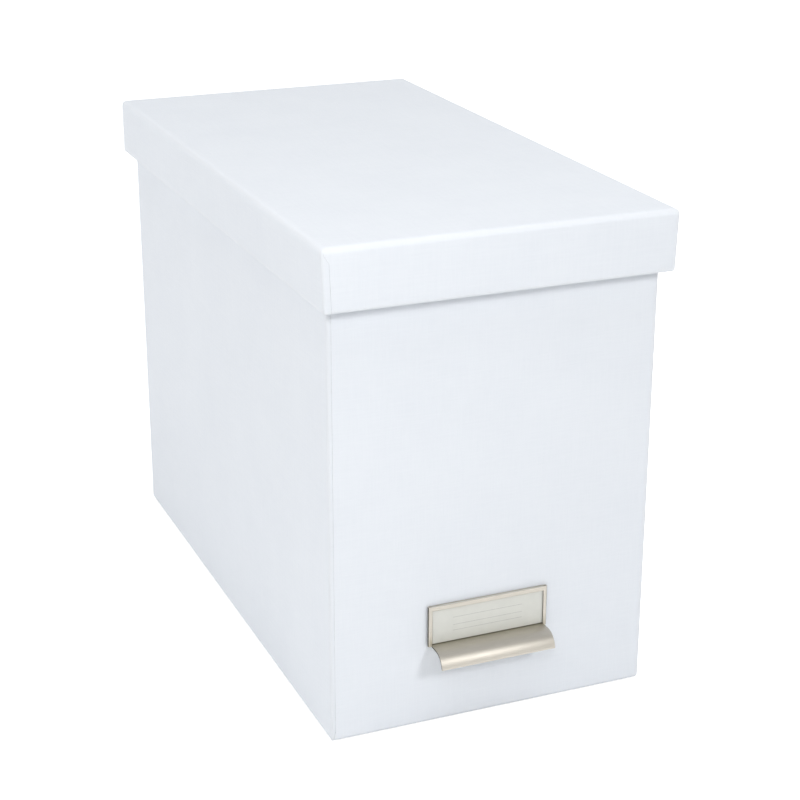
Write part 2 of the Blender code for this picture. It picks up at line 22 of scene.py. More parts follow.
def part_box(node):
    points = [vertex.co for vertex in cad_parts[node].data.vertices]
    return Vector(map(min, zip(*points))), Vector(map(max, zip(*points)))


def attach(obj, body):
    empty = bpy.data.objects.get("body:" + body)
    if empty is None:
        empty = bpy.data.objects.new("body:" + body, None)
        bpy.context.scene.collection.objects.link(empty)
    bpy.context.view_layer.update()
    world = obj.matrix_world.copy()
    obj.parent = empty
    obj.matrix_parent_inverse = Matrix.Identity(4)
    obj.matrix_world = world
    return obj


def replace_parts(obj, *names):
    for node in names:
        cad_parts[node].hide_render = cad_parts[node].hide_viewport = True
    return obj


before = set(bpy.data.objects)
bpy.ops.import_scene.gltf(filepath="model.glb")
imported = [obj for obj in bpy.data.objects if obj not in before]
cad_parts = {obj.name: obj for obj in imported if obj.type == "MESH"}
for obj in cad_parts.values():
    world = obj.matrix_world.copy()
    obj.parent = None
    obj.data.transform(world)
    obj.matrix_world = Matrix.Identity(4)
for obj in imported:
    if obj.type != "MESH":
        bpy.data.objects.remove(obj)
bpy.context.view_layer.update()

LOG = logging.getLogger("hanging_file_box")

Point = tuple[float, float]
Span = tuple[float, float]
Place = tuple[float, float, float]
Colour = tuple[float, float, float]
Value = float | Sequence[float] | NodeSocket

# Where shading turns sharp, and how eased edges are cut
SHARP_ANGLE = math.radians(32.0)
EASED_ANGLE = math.radians(40.0)
EASED_STEPS = 3

# Spans that a node tree's values are carried from and to
RISE = (0.0, 1.0)
FADE = (1.0, 0.0)
NOISE_SPAN = (0.3, 0.7)
TOOTH_SPAN = (0.2, 0.8)


class End(Enum):
    """A short end of the box, by the sign of its Y."""

    FRONT = -1
    BACK = 1


class Side(Enum):
    """A long side of the box, by the sign of its X."""

    LEFT = -1
    RIGHT = 1


class Covering(Enum):
    """What a tray's paper covers beside its walls."""

    WALLS = "walls"
    WALLS_AND_PANEL = "walls and panel"


CORNERS = tuple(f"{end.name.lower()}_{side.name.lower()}" for end in End for side in Side)


# Paths and outlines


def arc(centre: Point, radius: float, start: float, end: float, steps: int) -> list[Point]:
    """Gives points along an arc.

    Args:
        centre: The arc's centre.
        radius: Its radius.
        start: Its first angle, in degrees.
        end: Its last angle, in degrees.
        steps: How many chords it is drawn with.

    Returns:
        The points, with both ends.
    """
    angles = [math.radians(start + (end - start) * k / steps) for k in range(steps + 1)]
    return [(centre[0] + radius * math.cos(a), centre[1] + radius * math.sin(a)) for a in angles]


def between(low: float, high: float, steps: int) -> list[float]:
    """Gives the values that part a stretch into equal steps.

    Args:
        low: Where the stretch starts.
        high: Where it ends.
        steps: How many steps it has.

    Returns:
        The values inside the stretch, without its ends.
    """
    return [low + (high - low) * k / steps for k in range(1, steps)]


def smooth_step(value: float, low: float, high: float) -> float:
    """Rises smoothly from 0 to 1.

    Args:
        value: Where to read the curve.
        low: Where it leaves 0.
        high: Where it reaches 1.

    Returns:
        The curve's height there.
    """
    share = min(max((value - low) / (high - low), 0.0), 1.0)
    return share * share * (3 - 2 * share)


def offset_path(path: Sequence[Point], distance: float) -> list[Point]:
    """Moves an open path to its right.

    Args:
        path: The points of the path.
        distance: How far it moves.

    Returns:
        The moved path, with mitred corners.
    """
    normals = []
    for (x0, y0), (x1, y1) in zip(path, path[1:]):
        length = math.hypot(x1 - x0, y1 - y0)
        normals.append(((y1 - y0) / length, (x0 - x1) / length))
    moved = []
    for k, (x, y) in enumerate(path):
        before, after = normals[max(k - 1, 0)], normals[min(k, len(normals) - 1)]
        across = (before[0] + after[0], before[1] + after[1])
        reach = 2 * distance / (across[0] ** 2 + across[1] ** 2)
        moved.append((x + reach * across[0], y + reach * across[1]))
    return moved


def folded_path(corners: Sequence[Point], radius: float, steps: int) -> list[Point]:
    """Rounds the inner corners of a path.

    Args:
        corners: The path's corners, with its two ends.
        radius: The radius of each bend.
        steps: How many chords a bend is drawn with.

    Returns:
        The points of the folded path.
    """
    path = [corners[0]]
    for before, corner, after in zip(corners, corners[1:], corners[2:]):
        come = math.atan2(corner[1] - before[1], corner[0] - before[0])
        go = math.atan2(after[1] - corner[1], after[0] - corner[0])
        turn = (go - come + math.pi) % (2 * math.pi) - math.pi
        trim = radius * math.tan(abs(turn) / 2)
        side = math.copysign(math.pi / 2, turn)
        start = (corner[0] - trim * math.cos(come), corner[1] - trim * math.sin(come))
        centre = (start[0] + radius * math.cos(come + side), start[1] + radius * math.sin(come + side))
        first = math.degrees(come - side)
        path += arc(centre, radius, first, first + math.degrees(turn), steps)
    return [*path, corners[-1]]


def sheet_outline(path: Sequence[Point], thickness: float, nose_steps: int = 8) -> list[Point]:
    """Draws a folded sheet seen end on.

    Args:
        path: The middle line of the sheet.
        thickness: How thick the sheet is.
        nose_steps: How many chords each round end is drawn with.

    Returns:
        The outline, with round noses at both ends.
    """
    right, left = offset_path(path, thickness / 2), offset_path(path, -thickness / 2)
    ends = []
    for tip, behind in ((path[-1], path[-2]), (path[0], path[1])):
        facing = math.degrees(math.atan2(tip[1] - behind[1], tip[0] - behind[0]))
        ends.append(arc(tip, thickness / 2, facing - 90, facing + 90, nose_steps)[1:-1])
    return [*right, *ends[0], *reversed(left), *ends[1]]


def rounded_rectangle(low: Point, high: Point, radius: float, steps: int) -> list[Point]:
    """Draws a rectangle with rounded corners.

    Args:
        low: Its lowest corner.
        high: Its highest corner.
        radius: The radius of its corners.
        steps: How many chords a corner is drawn with.

    Returns:
        The points round it.
    """
    points = []
    centres = (
        (high[0] - radius, low[1] + radius),
        (high[0] - radius, high[1] - radius),
        (low[0] + radius, high[1] - radius),
        (low[0] + radius, low[1] + radius),
    )
    for quarter, centre in enumerate(centres):
        points += arc(centre, radius, 90 * quarter - 90, 90 * quarter, steps)
    return points


# Meshes and pieces


class Shape:
    """A mesh in the making, with helpers for the ways that the box's pieces are formed."""

    def __init__(self) -> None:
        """Starts an empty mesh."""
        self.work = bmesh.new()

    def loft(
        self,
        rings: Sequence[Sequence[Sequence[float]]],
        closed: bool = False,
        finish_of: Callable[[int, int], int] | None = None,
    ) -> Shape:
        """Skins over rings of equal count.

        Args:
            rings: The rings, each a list of points in space.
            closed: Whether the last ring meets the first. Otherwise both ends are capped.
            finish_of: Gives the material index of the face at a ring and a column.

        Returns:
            This shape.
        """
        count = len(rings[0])
        rows = [[self.work.verts.new(point) for point in ring] for ring in rings]
        for k in range(len(rows) if closed else len(rows) - 1):
            low, high = rows[k], rows[(k + 1) % len(rows)]
            for i in range(count):
                after = (i + 1) % count
                face = self.work.faces.new((low[i], low[after], high[after], high[i]))
                face.material_index = finish_of(k, i) if finish_of else 0
        if not closed:
            self.work.faces.new(rows[0])
            self.work.faces.new(rows[-1])
        return self

    def prism(self, outline: Sequence[Point], cuts: Sequence[float], place: Callable[..., Place]) -> Shape:
        """Carries an outline through some cuts.

        Args:
            outline: The points of the outline.
            cuts: Where the outline is placed, from one end to the other.
            place: Gives the point in space of two outline values and a cut.

        Returns:
            This shape.
        """
        return self.loft([[place(a, b, cut) for a, b in outline] for cut in cuts])

    def lathe(self, profile: Sequence[Point], steps: int, place: Matrix) -> Shape:
        """Turns a profile about its axis. Both its ends lie on the axis.

        Args:
            profile: Radius and height of each point.
            steps: How many facets the turned shape has.
            place: Where the shape stands.

        Returns:
            This shape.
        """
        angles = [2 * math.pi * k / steps for k in range(steps)]
        rows = [
            [self.work.verts.new(place @ Vector((r * math.cos(a), r * math.sin(a), h))) for a in angles]
            for r, h in profile[1:-1]
        ]
        for low, high in zip(rows, rows[1:]):
            for i in range(steps):
                after = (i + 1) % steps
                self.work.faces.new((low[i], low[after], high[after], high[i]))
        for row, (_, height) in ((rows[0], profile[0]), (rows[-1], profile[-1])):
            tip = self.work.verts.new(place @ Vector((0.0, 0.0, height)))
            for i in range(steps):
                self.work.faces.new((row[i], row[(i + 1) % steps], tip))
        return self

    def warp(self, move: Callable[[Vector], Vector]) -> Shape:
        """Moves every point by a rule.

        Args:
            move: Gives a point's new place.

        Returns:
            This shape.
        """
        for corner in self.work.verts:
            corner.co = move(corner.co)
        return self

    def mesh(self, name: str) -> Mesh:
        """Ends the making.

        Args:
            name: The mesh's name.

        Returns:
            The mesh, with its faces turned outwards and its curves shaded smooth.
        """
        bmesh.ops.recalc_face_normals(self.work, faces=self.work.faces)
        made = bpy.data.meshes.new(name)
        self.work.to_mesh(made)
        self.work.free()
        shade(made)
        return made


def shade(mesh: Mesh) -> None:
    """Shades a mesh smooth, apart from its sharp edges.

    Args:
        mesh: The mesh.
    """
    mesh.shade_smooth()
    mesh.set_sharp_from_angle(angle=SHARP_ANGLE)


def add_piece(name: str, mesh: Mesh, finishes: Sequence[Material], body: str) -> Object:
    """Puts a piece in the scene.

    Args:
        name: The piece's name.
        mesh: Its mesh.
        finishes: Its materials, in the order of the mesh's material indexes.
        body: The body that it moves with.

    Returns:
        The piece.
    """
    made = bpy.data.objects.new(name, mesh)
    bpy.context.scene.collection.objects.link(made)
    for finish in finishes:
        mesh.materials.append(finish)
    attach(made, body)
    LOG.info("%s: %d faces, on %s", name, len(mesh.polygons), body)
    return made


def combine(piece: Object, operation: str, shape: Shape) -> None:
    """Cuts a shape out of a piece, or joins it on.

    Args:
        piece: The piece that changes.
        operation: DIFFERENCE or UNION.
        shape: The shape, which is used up.
    """
    tool = bpy.data.objects.new("tool", shape.mesh("tool"))
    bpy.context.scene.collection.objects.link(tool)
    modifier = piece.modifiers.new(operation, "BOOLEAN")
    modifier.operation = operation
    modifier.object = tool
    settle(piece)
    bpy.data.meshes.remove(tool.data)


def settle(piece: Object) -> None:
    """Applies a piece's modifiers.

    Args:
        piece: The piece, which keeps its name and materials.
    """
    bpy.context.view_layer.update()
    graph = bpy.context.evaluated_depsgraph_get()
    before = piece.data
    settled = bpy.data.meshes.new_from_object(piece.evaluated_get(graph))
    piece.modifiers.clear()
    piece.data = settled
    name = before.name
    bpy.data.meshes.remove(before)
    settled.name = name


def ease_edges(piece: Object, width: float) -> None:
    """Breaks the sharp edges of a cut or stamped piece.

    Args:
        piece: The piece.
        width: How wide the broken edge is.
    """
    bevel = piece.modifiers.new("eased", "BEVEL")
    bevel.width = width
    bevel.segments = EASED_STEPS
    bevel.limit_method = "ANGLE"
    bevel.angle_limit = EASED_ANGLE
    bevel.use_clamp_overlap = True
    settle(piece)
    shade(piece.data)


def pierce_covering(shape: Shape) -> None:
    """Cuts a hole through the body's covering paper, where a rivet or a prong passes.

    Args:
        shape: The hole's shape, which is used up.
    """
    covering = bpy.data.objects["body_covering"]
    combine(covering, "DIFFERENCE", shape)
    shade(covering.data)


def dress_node(name: str, finish: Material) -> None:
    """Gives a CAD node that stays a finished material.

    Args:
        name: The node's name.
        finish: The material.
    """
    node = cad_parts[name]
    node.data.materials.clear()
    node.data.materials.append(finish)
    LOG.info("%s: kept, dressed as %s", name, finish.name)


# Node trees


class Graph:
    """Adds and links the nodes of one tree."""

    def __init__(self, tree: NodeTree) -> None:
        """Takes the tree that it works on."""
        self.tree = tree

    def feed(self, socket: NodeSocket, value: Value) -> None:
        """Links a socket, or sets its own value.

        Args:
            socket: The socket that is fed.
            value: A number, some numbers or the socket that it comes from.
        """
        if isinstance(value, NodeSocket):
            self.tree.links.new(value, socket)
        else:
            socket.default_value = value

    def add(self, kind: str, inputs: dict[str | int, Value] | None = None, **settings: object) -> Node:
        """Adds a node.

        Args:
            kind: Its type, without the ShaderNode that begins it.
            inputs: What its input sockets are fed, by name or number.
            settings: Its properties.

        Returns:
            The node.
        """
        made = self.tree.nodes.new("ShaderNode" + kind)
        for name, value in settings.items():
            setattr(made, name, value)
        for name, value in (inputs or {}).items():
            self.feed(made.inputs[name], value)
        return made

    def math(self, operation: str, *values: Value) -> NodeSocket:
        """Adds a Math node and gives its output."""
        return self.add("Math", dict(enumerate(values)), operation=operation).outputs[0]

    def vector(self, operation: str, *values: Value) -> NodeSocket:
        """Adds a Vector Math node and gives its vector."""
        return self.add("VectorMath", dict(enumerate(values)), operation=operation).outputs["Vector"]

    def weigh(self, first: Value, share: float, second: Value, other_share: float) -> NodeSocket:
        """Adds two values, each by its own share, and gives the sum."""
        return self.math("MULTIPLY_ADD", first, share, self.math("MULTIPLY", second, other_share))

    def remap(self, value: Value, old: Span, new: Span = RISE, smooth: bool = False) -> NodeSocket:
        """Carries a value from one span to another.

        Args:
            value: The value.
            old: The span that it comes from.
            new: The span that it goes to.
            smooth: Whether it eases at both ends.

        Returns:
            The carried value, held within the new span.
        """
        kind = "SMOOTHSTEP" if smooth else "LINEAR"
        inputs = {"Value": value, "From Min": old[0], "From Max": old[1], "To Min": new[0], "To Max": new[1]}
        return self.add("MapRange", inputs, interpolation_type=kind).outputs["Result"]

    def mix(self, factor: Value, low: Value, high: Value) -> NodeSocket:
        """Blends two colours.

        Args:
            factor: The share of the second colour.
            low: The first colour.
            high: The second colour.

        Returns:
            The blended colour.
        """
        made = self.add("Mix", data_type="RGBA")
        for name, value in (("Factor_Float", factor), ("A_Color", low), ("B_Color", high)):
            socket = next(one for one in made.inputs if one.identifier == name)
            if isinstance(value, tuple) and len(value) == 3:
                value = (*value, 1.0)
            self.feed(socket, value)
        return next(one for one in made.outputs if one.identifier == "Result_Color")

    def noise(self, place: Value, scale: Value, detail: float = 2.0) -> NodeSocket:
        """Adds a noise texture and gives its value."""
        inputs = {"Vector": place, "Scale": scale, "Detail": detail}
        return self.add("TexNoise", inputs, noise_dimensions="3D").outputs["Fac"]

    def split(self, place: Value) -> tuple[NodeSocket, ...]:
        """Gives the three parts of a vector."""
        return tuple(self.add("SeparateXYZ", {0: place}).outputs)


class Effect:
    """An effect that several finishes share: a node group that is built once."""

    name = ""
    inputs: dict[str, tuple[str, object]] = {}
    outputs: dict[str, str] = {}

    @classmethod
    def build(cls, graph: Graph, given: NodeOutputs) -> dict[str, NodeSocket]:
        """Builds the effect's nodes in its group and gives its outputs by name."""
        raise NotImplementedError

    @classmethod
    def group(cls) -> NodeTree:
        """Gives the effect's node group, which it makes when it is first asked for.

        Returns:
            The node group.
        """
        made = bpy.data.node_groups.get(cls.name)
        if made is not None:
            return made
        made = bpy.data.node_groups.new(cls.name, "ShaderNodeTree")
        for name, (kind, value) in cls.inputs.items():
            socket = made.interface.new_socket(name=name, in_out="INPUT", socket_type=f"NodeSocket{kind}")
            if value is not None:
                socket.default_value = value
        for name, kind in cls.outputs.items():
            made.interface.new_socket(name=name, in_out="OUTPUT", socket_type=f"NodeSocket{kind}")
        entry, end = made.nodes.new("NodeGroupInput"), made.nodes.new("NodeGroupOutput")
        graph = Graph(made)
        for name, socket in cls.build(graph, entry.outputs).items():
            graph.feed(end.inputs[name], socket)
        return made

    @classmethod
    def place(cls, graph: Graph, **values: Value) -> NodeOutputs:
        """Places the effect in a material.

        Args:
            graph: The material's graph.
            values: What the effect's inputs are fed. An underscore stands for a space.

        Returns:
            The outputs of the placed group.
        """
        made = graph.tree.nodes.new("ShaderNodeGroup")
        made.node_tree = cls.group()
        for name, value in values.items():
            graph.feed(made.inputs[name.replace("_", " ")], value)
        return made.outputs


class LinenEmboss(Effect):
    """The crossed threads that are pressed into the covering paper, with their slubs. Their Shade output is
    painted shade, darker between the threads.
    """

    name = "linen_emboss"
    inputs = {"Place": ("Vector", None), "Pitch": ("Float", 0.0004), "Slub": ("Float", 0.5)}
    outputs = {"Height": "Float", "Shade": "Float"}
    slub_scale = 70.0
    thread_share = 0.45
    ridge_span = (0.45, 1.0)
    lying_span = (0.55, 0.9)
    broad_scale = 26.0
    broad_share = 0.4

    @classmethod
    def build(cls, graph: Graph, given: NodeOutputs) -> dict[str, NodeSocket]:
        """Lays one set of threads across each axis, and fades it out on the faces square to that axis.

        Args:
            graph: The graph of the group.
            given: The inputs of the group.

        Returns:
            The height of the threads, and their painted shade, darker between the threads, with broad random
            clouds in it.
        """
        place, pitch, slub = given["Place"], given["Pitch"], given["Slub"]
        facing = graph.split(graph.add("NewGeometry").outputs["Normal"])
        parts = graph.split(place)
        across = graph.math("DIVIDE", cls.thread_share, pitch)
        threads = []
        for k in range(3):
            stretch = graph.add("CombineXYZ", {n: across if n == k else cls.slub_scale for n in range(3)})
            uneven = graph.noise(graph.vector("MULTIPLY", place, stretch.outputs[0]), 1.0, detail=1.0)
            drift = graph.math("MULTIPLY", graph.math("SUBTRACT", uneven, 0.5), slub)
            phase = graph.math("ADD", graph.math("DIVIDE", parts[k], pitch), drift)
            wave = graph.math("COSINE", graph.math("MULTIPLY", phase, 2 * math.pi))
            ridge = graph.math("MULTIPLY_ADD", wave, 0.5, 0.5)
            body = graph.math("MULTIPLY", ridge, graph.remap(uneven, NOISE_SPAN, cls.ridge_span))
            lying = graph.remap(graph.math("ABSOLUTE", facing[k]), cls.lying_span, FADE, smooth=True)
            threads.append(graph.math("MULTIPLY", body, lying))
        height = graph.math("MAXIMUM", graph.math("MAXIMUM", threads[0], threads[1]), threads[2])
        broad = graph.noise(place, cls.broad_scale)
        shade = graph.weigh(height, 1 - cls.broad_share, broad, cls.broad_share)
        return {"Height": height, "Shade": shade}


class PaperTooth(Effect):
    """The fibres and clouds of uncoated paper and board."""

    name = "paper_tooth"
    inputs = {"Place": ("Vector", None), "Fibre": ("Float", 0.0003), "Cloud": ("Float", 0.006)}
    outputs = {"Height": "Float", "Cloud": "Float", "Fleck": "Float"}
    fibre_share = 0.7
    fleck_scale = 0.6
    fleck_span = (0.68, 0.74)

    @classmethod
    def build(cls, graph: Graph, given: NodeOutputs) -> dict[str, NodeSocket]:
        """Mixes fine fibres, soft clouds and a few dark flecks.

        Args:
            graph: The graph of the group.
            given: The inputs of the group.

        Returns:
            The height, the clouds and the flecks.
        """
        place = given["Place"]
        fibres = graph.noise(place, graph.math("DIVIDE", 1.0, given["Fibre"]), detail=3.0)
        clouds = graph.noise(place, graph.math("DIVIDE", 1.0, given["Cloud"]), detail=4.0)
        specks = graph.noise(place, graph.math("DIVIDE", cls.fleck_scale, given["Fibre"]), detail=0.0)
        height = graph.weigh(fibres, cls.fibre_share, clouds, 1 - cls.fibre_share)
        return {"Height": height, "Cloud": clouds, "Fleck": graph.remap(specks, cls.fleck_span)}


class EdgeBand(Effect):
    """A mask along the edges and corners of a box-shaped piece."""

    name = "edge_band"
    inputs = {
        "Place": ("Vector", None),
        "Middle": ("Vector", None),
        "Half Size": ("Vector", None),
        "Width": ("Float", 0.003),
    }
    outputs = {"Edge": "Float", "Corner": "Float"}
    uneven_scale = 220.0
    uneven_gain = 1.4
    least_width = 0.3
    fade_span = (0.25, 1.0)

    @classmethod
    def build(cls, graph: Graph, given: NodeOutputs) -> dict[str, NodeSocket]:
        """Measures how deep a point lies on each axis. On an edge, two of the three depths are small.

        Args:
            graph: The graph of the group.
            given: The inputs of the group.

        Returns:
            The mask of the edges and the mask of the corners.
        """
        away = graph.vector("ABSOLUTE", graph.vector("SUBTRACT", given["Place"], given["Middle"]))
        x, y, z = graph.split(graph.vector("SUBTRACT", given["Half Size"], away))
        least, most = graph.math("MINIMUM", x, y), graph.math("MAXIMUM", x, y)
        second = graph.math("MAXIMUM", least, graph.math("MINIMUM", most, z))
        third = graph.math("MAXIMUM", most, z)
        noise = graph.noise(given["Place"], cls.uneven_scale, detail=3.0)
        uneven = graph.math("MULTIPLY_ADD", noise, cls.uneven_gain, cls.least_width)
        width = graph.math("MULTIPLY", given["Width"], uneven)
        bands = []
        for depth in (second, third):
            share = graph.math("DIVIDE", depth, width)
            bands.append(graph.remap(share, cls.fade_span, FADE, smooth=True))
        return {"Edge": bands[0], "Corner": bands[1]}


class DrawnGrain(Effect):
    """The fine lengthwise grain of drawn, brushed or rolled metal. It runs along X."""

    name = "drawn_grain"
    inputs = {"Place": ("Vector", None), "Length": ("Float", 0.006), "Width": ("Float", 0.00008)}
    outputs = {"Height": "Float", "Streak": "Float", "Cloud": "Float"}
    streak_share = 0.16
    cloud_scale = 120.0

    @classmethod
    def build(cls, graph: Graph, given: NodeOutputs) -> dict[str, NodeSocket]:
        """Stretches noise along X, fine for the height and broader for the streaks.

        Args:
            graph: The graph of the group.
            given: The inputs of the group.

        Returns:
            The height, the streaks and the clouds.
        """
        place = given["Place"]
        along = graph.math("DIVIDE", 1.0, given["Length"])
        fine = graph.math("DIVIDE", 1.0, given["Width"])
        broad = graph.math("DIVIDE", cls.streak_share, given["Width"])
        found = []
        for scale in (fine, broad):
            stretch = graph.add("CombineXYZ", {0: along, 1: scale, 2: scale})
            found.append(graph.noise(graph.vector("MULTIPLY", place, stretch.outputs[0]), 1.0))
        return {"Height": found[0], "Streak": found[1], "Cloud": graph.noise(place, cls.cloud_scale)}


# Finishes


class Finish:
    """Something that a surface is dressed in. Its material is made once."""

    name: str

    def material(self) -> Material:
        """Gives the finish's material, which it makes when it is first asked for.

        Returns:
            The material.
        """
        made = bpy.data.materials.get(self.name)
        if made is None:
            made = bpy.data.materials.new(self.name)
            made.use_nodes = True
            shader = made.node_tree.nodes["Principled BSDF"]
            graph = Graph(made.node_tree)
            self.dress(graph, shader, graph.add("TexCoord").outputs["Object"])
        return made

    def dress(self, graph: Graph, shader: Node, place: NodeSocket) -> None:
        """Feeds the shader. place is the point on the piece, in metres."""
        raise NotImplementedError

    @staticmethod
    def emboss(graph: Graph, shader: Node, height: Value, depth: float) -> None:
        """Presses a height into the surface.

        Args:
            graph: The material's graph.
            shader: The shader whose normal is fed.
            height: The height, from 0 to 1.
            depth: What a height of 1 measures.
        """
        bump = graph.add("Bump", {"Height": height, "Distance": depth, "Strength": 1.0})
        graph.feed(shader.inputs["Normal"], bump.outputs["Normal"])


@dataclass(frozen=True)
class CoveringPaper(Finish):
    """The white linen-embossed paper of one tray, with painted shade between its threads, a little darker and
    greyer along the tray's edges and corners.
    """

    name: str
    middle: Place
    half_size: Place
    colour: Colour = (0.800, 0.832, 0.874)
    hollow_shade: Colour = (0.752, 0.786, 0.835)
    edge_grey: Colour = (0.765, 0.785, 0.806)
    pitch: float = 0.00042
    slub: float = 1.1
    relief: float = 0.000022
    shade_span: Span = (0.25, 0.75)
    edge_width: float = 0.0028
    edge_grey_share: float = 0.3
    corner_grey_share: float = 0.35
    rough_span: Span = (0.72, 0.60)
    edge_polish: float = 0.06
    gloss: float = 0.35

    def dress(self, graph: Graph, shader: Node, place: NodeSocket) -> None:
        """Feeds the shader with threads, their painted shade in the hollows, and a darker grey along the
        edges.

        Args:
            graph: The graph of the material.
            shader: The shader that is fed.
            place: The point on the piece, in metres.
        """
        linen = LinenEmboss.place(graph, Place=place, Pitch=self.pitch, Slub=self.slub)
        edges = EdgeBand.place(
            graph, Place=place, Middle=self.middle, Half_Size=self.half_size, Width=self.edge_width
        )
        # Painted shade: the hollows between the threads are painted darker. The broad clouds are random tone.
        sheet = graph.mix(graph.remap(linen["Shade"], self.shade_span), self.hollow_shade, self.colour)
        # Darker and greyer along the tray's edges and corners.
        edge_grey_mask = graph.weigh(edges["Corner"], self.corner_grey_share, edges["Edge"], self.edge_grey_share)
        graph.feed(shader.inputs["Base Color"], graph.mix(edge_grey_mask, sheet, self.edge_grey))
        rough = graph.remap(linen["Height"], RISE, self.rough_span)
        polish = graph.math("MULTIPLY", edges["Edge"], self.edge_polish)
        graph.feed(shader.inputs["Roughness"], graph.math("SUBTRACT", rough, polish))
        shader.inputs["Specular IOR Level"].default_value = self.gloss
        self.emboss(graph, shader, linen["Height"], self.relief)


@dataclass(frozen=True)
class CutPaper(Finish):
    """The cut edge of the covering paper, grey with its core and a little glue."""

    name: str
    colour: Colour
    glue: Colour
    fibre: float = 0.0002
    cloud: float = 0.004
    relief: float = 0.00004
    glue_span: Span = (0.4, 0.65)
    rough_span: Span = (0.85, 0.6)

    def dress(self, graph: Graph, shader: Node, place: NodeSocket) -> None:
        """Feeds the shader with fibres and patches of glue.

        Args:
            graph: The graph of the material.
            shader: The shader that is fed.
            place: The point on the piece, in metres.
        """
        tooth = PaperTooth.place(graph, Place=place, Fibre=self.fibre, Cloud=self.cloud)
        patches = graph.remap(tooth["Cloud"], self.glue_span, smooth=True)
        graph.feed(shader.inputs["Base Color"], graph.mix(patches, self.colour, self.glue))
        graph.feed(shader.inputs["Roughness"], graph.remap(patches, RISE, self.rough_span))
        self.emboss(graph, shader, tooth["Height"], self.relief)


@dataclass(frozen=True)
class PlainPaper(Finish):
    """Uncoated paper, board or tape: fibres, soft clouds and a few flecks."""

    name: str
    colour: Colour
    cloud_colour: Colour
    fleck_colour: Colour
    fleck_share: float = 0.2
    fibre: float = 0.0004
    cloud: float = 0.008
    relief: float = 0.00003
    roughness: float = 0.8
    rough_spread: Span = (-0.05, 0.07)

    def dress(self, graph: Graph, shader: Node, place: NodeSocket) -> None:
        """Feeds the shader with the paper's tooth.

        Args:
            graph: The graph of the material.
            shader: The shader that is fed.
            place: The point on the piece, in metres.
        """
        tooth = PaperTooth.place(graph, Place=place, Fibre=self.fibre, Cloud=self.cloud)
        clouds = graph.remap(tooth["Cloud"], NOISE_SPAN)
        sheet = graph.mix(clouds, self.colour, self.cloud_colour)
        flecks = graph.math("MULTIPLY", tooth["Fleck"], self.fleck_share)
        graph.feed(shader.inputs["Base Color"], graph.mix(flecks, sheet, self.fleck_colour))
        smoothest, roughest = (self.roughness + spread for spread in self.rough_spread)
        rough = graph.remap(tooth["Height"], TOOTH_SPAN, (smoothest, roughest))
        graph.feed(shader.inputs["Roughness"], rough)
        self.emboss(graph, shader, tooth["Height"], self.relief)


@dataclass(frozen=True)
class RuledCard(Finish):
    """The card of the label holder: warm grey stock with a few faint ruled lines."""

    name: str
    line_heights: tuple[float, ...]
    line_reach: Span
    line_width: float = 0.00028
    colour: Colour = (0.70, 0.705, 0.66)
    cloud_colour: Colour = (0.672, 0.677, 0.634)
    ink: Colour = (0.36, 0.365, 0.35)
    ink_share: float = 0.62
    skip_span: Span = (0.35, 0.6)
    faint_span: Span = (0.55, 1.0)
    fibre: float = 0.00025
    cloud: float = 0.005
    relief: float = 0.000012
    rough_span: Span = (0.5, 0.62)
    gloss: float = 0.4

    def dress(self, graph: Graph, shader: Node, place: NodeSocket) -> None:
        """Feeds the shader with the stock and the lines.

        Args:
            graph: The graph of the material.
            shader: The shader that is fed.
            place: The point on the piece, in metres.
        """
        tooth = PaperTooth.place(graph, Place=place, Fibre=self.fibre, Cloud=self.cloud)
        clouds = graph.remap(tooth["Cloud"], NOISE_SPAN)
        stock = graph.mix(clouds, self.colour, self.cloud_colour)
        x, _, z = graph.split(place)
        low, high = self.line_reach
        within = graph.math("COMPARE", x, (low + high) / 2, (high - low) / 2)
        front = graph.math("LESS_THAN", graph.split(graph.add("NewGeometry").outputs["Normal"])[1], 0.0)
        lines = 0.0
        for height in self.line_heights:
            line = graph.math("COMPARE", z, height, self.line_width / 2)
            lines = graph.math("MAXIMUM", line, lines)
        printed = graph.math("MULTIPLY", graph.math("MULTIPLY", lines, within), front)
        taken = graph.remap(tooth["Height"], self.skip_span, self.faint_span)
        inked = graph.math("MULTIPLY", graph.math("MULTIPLY", printed, taken), self.ink_share)
        graph.feed(shader.inputs["Base Color"], graph.mix(inked, stock, self.ink))
        graph.feed(shader.inputs["Roughness"], graph.remap(tooth["Height"], TOOTH_SPAN, self.rough_span))
        shader.inputs["Specular IOR Level"].default_value = self.gloss
        self.emboss(graph, shader, tooth["Height"], self.relief)


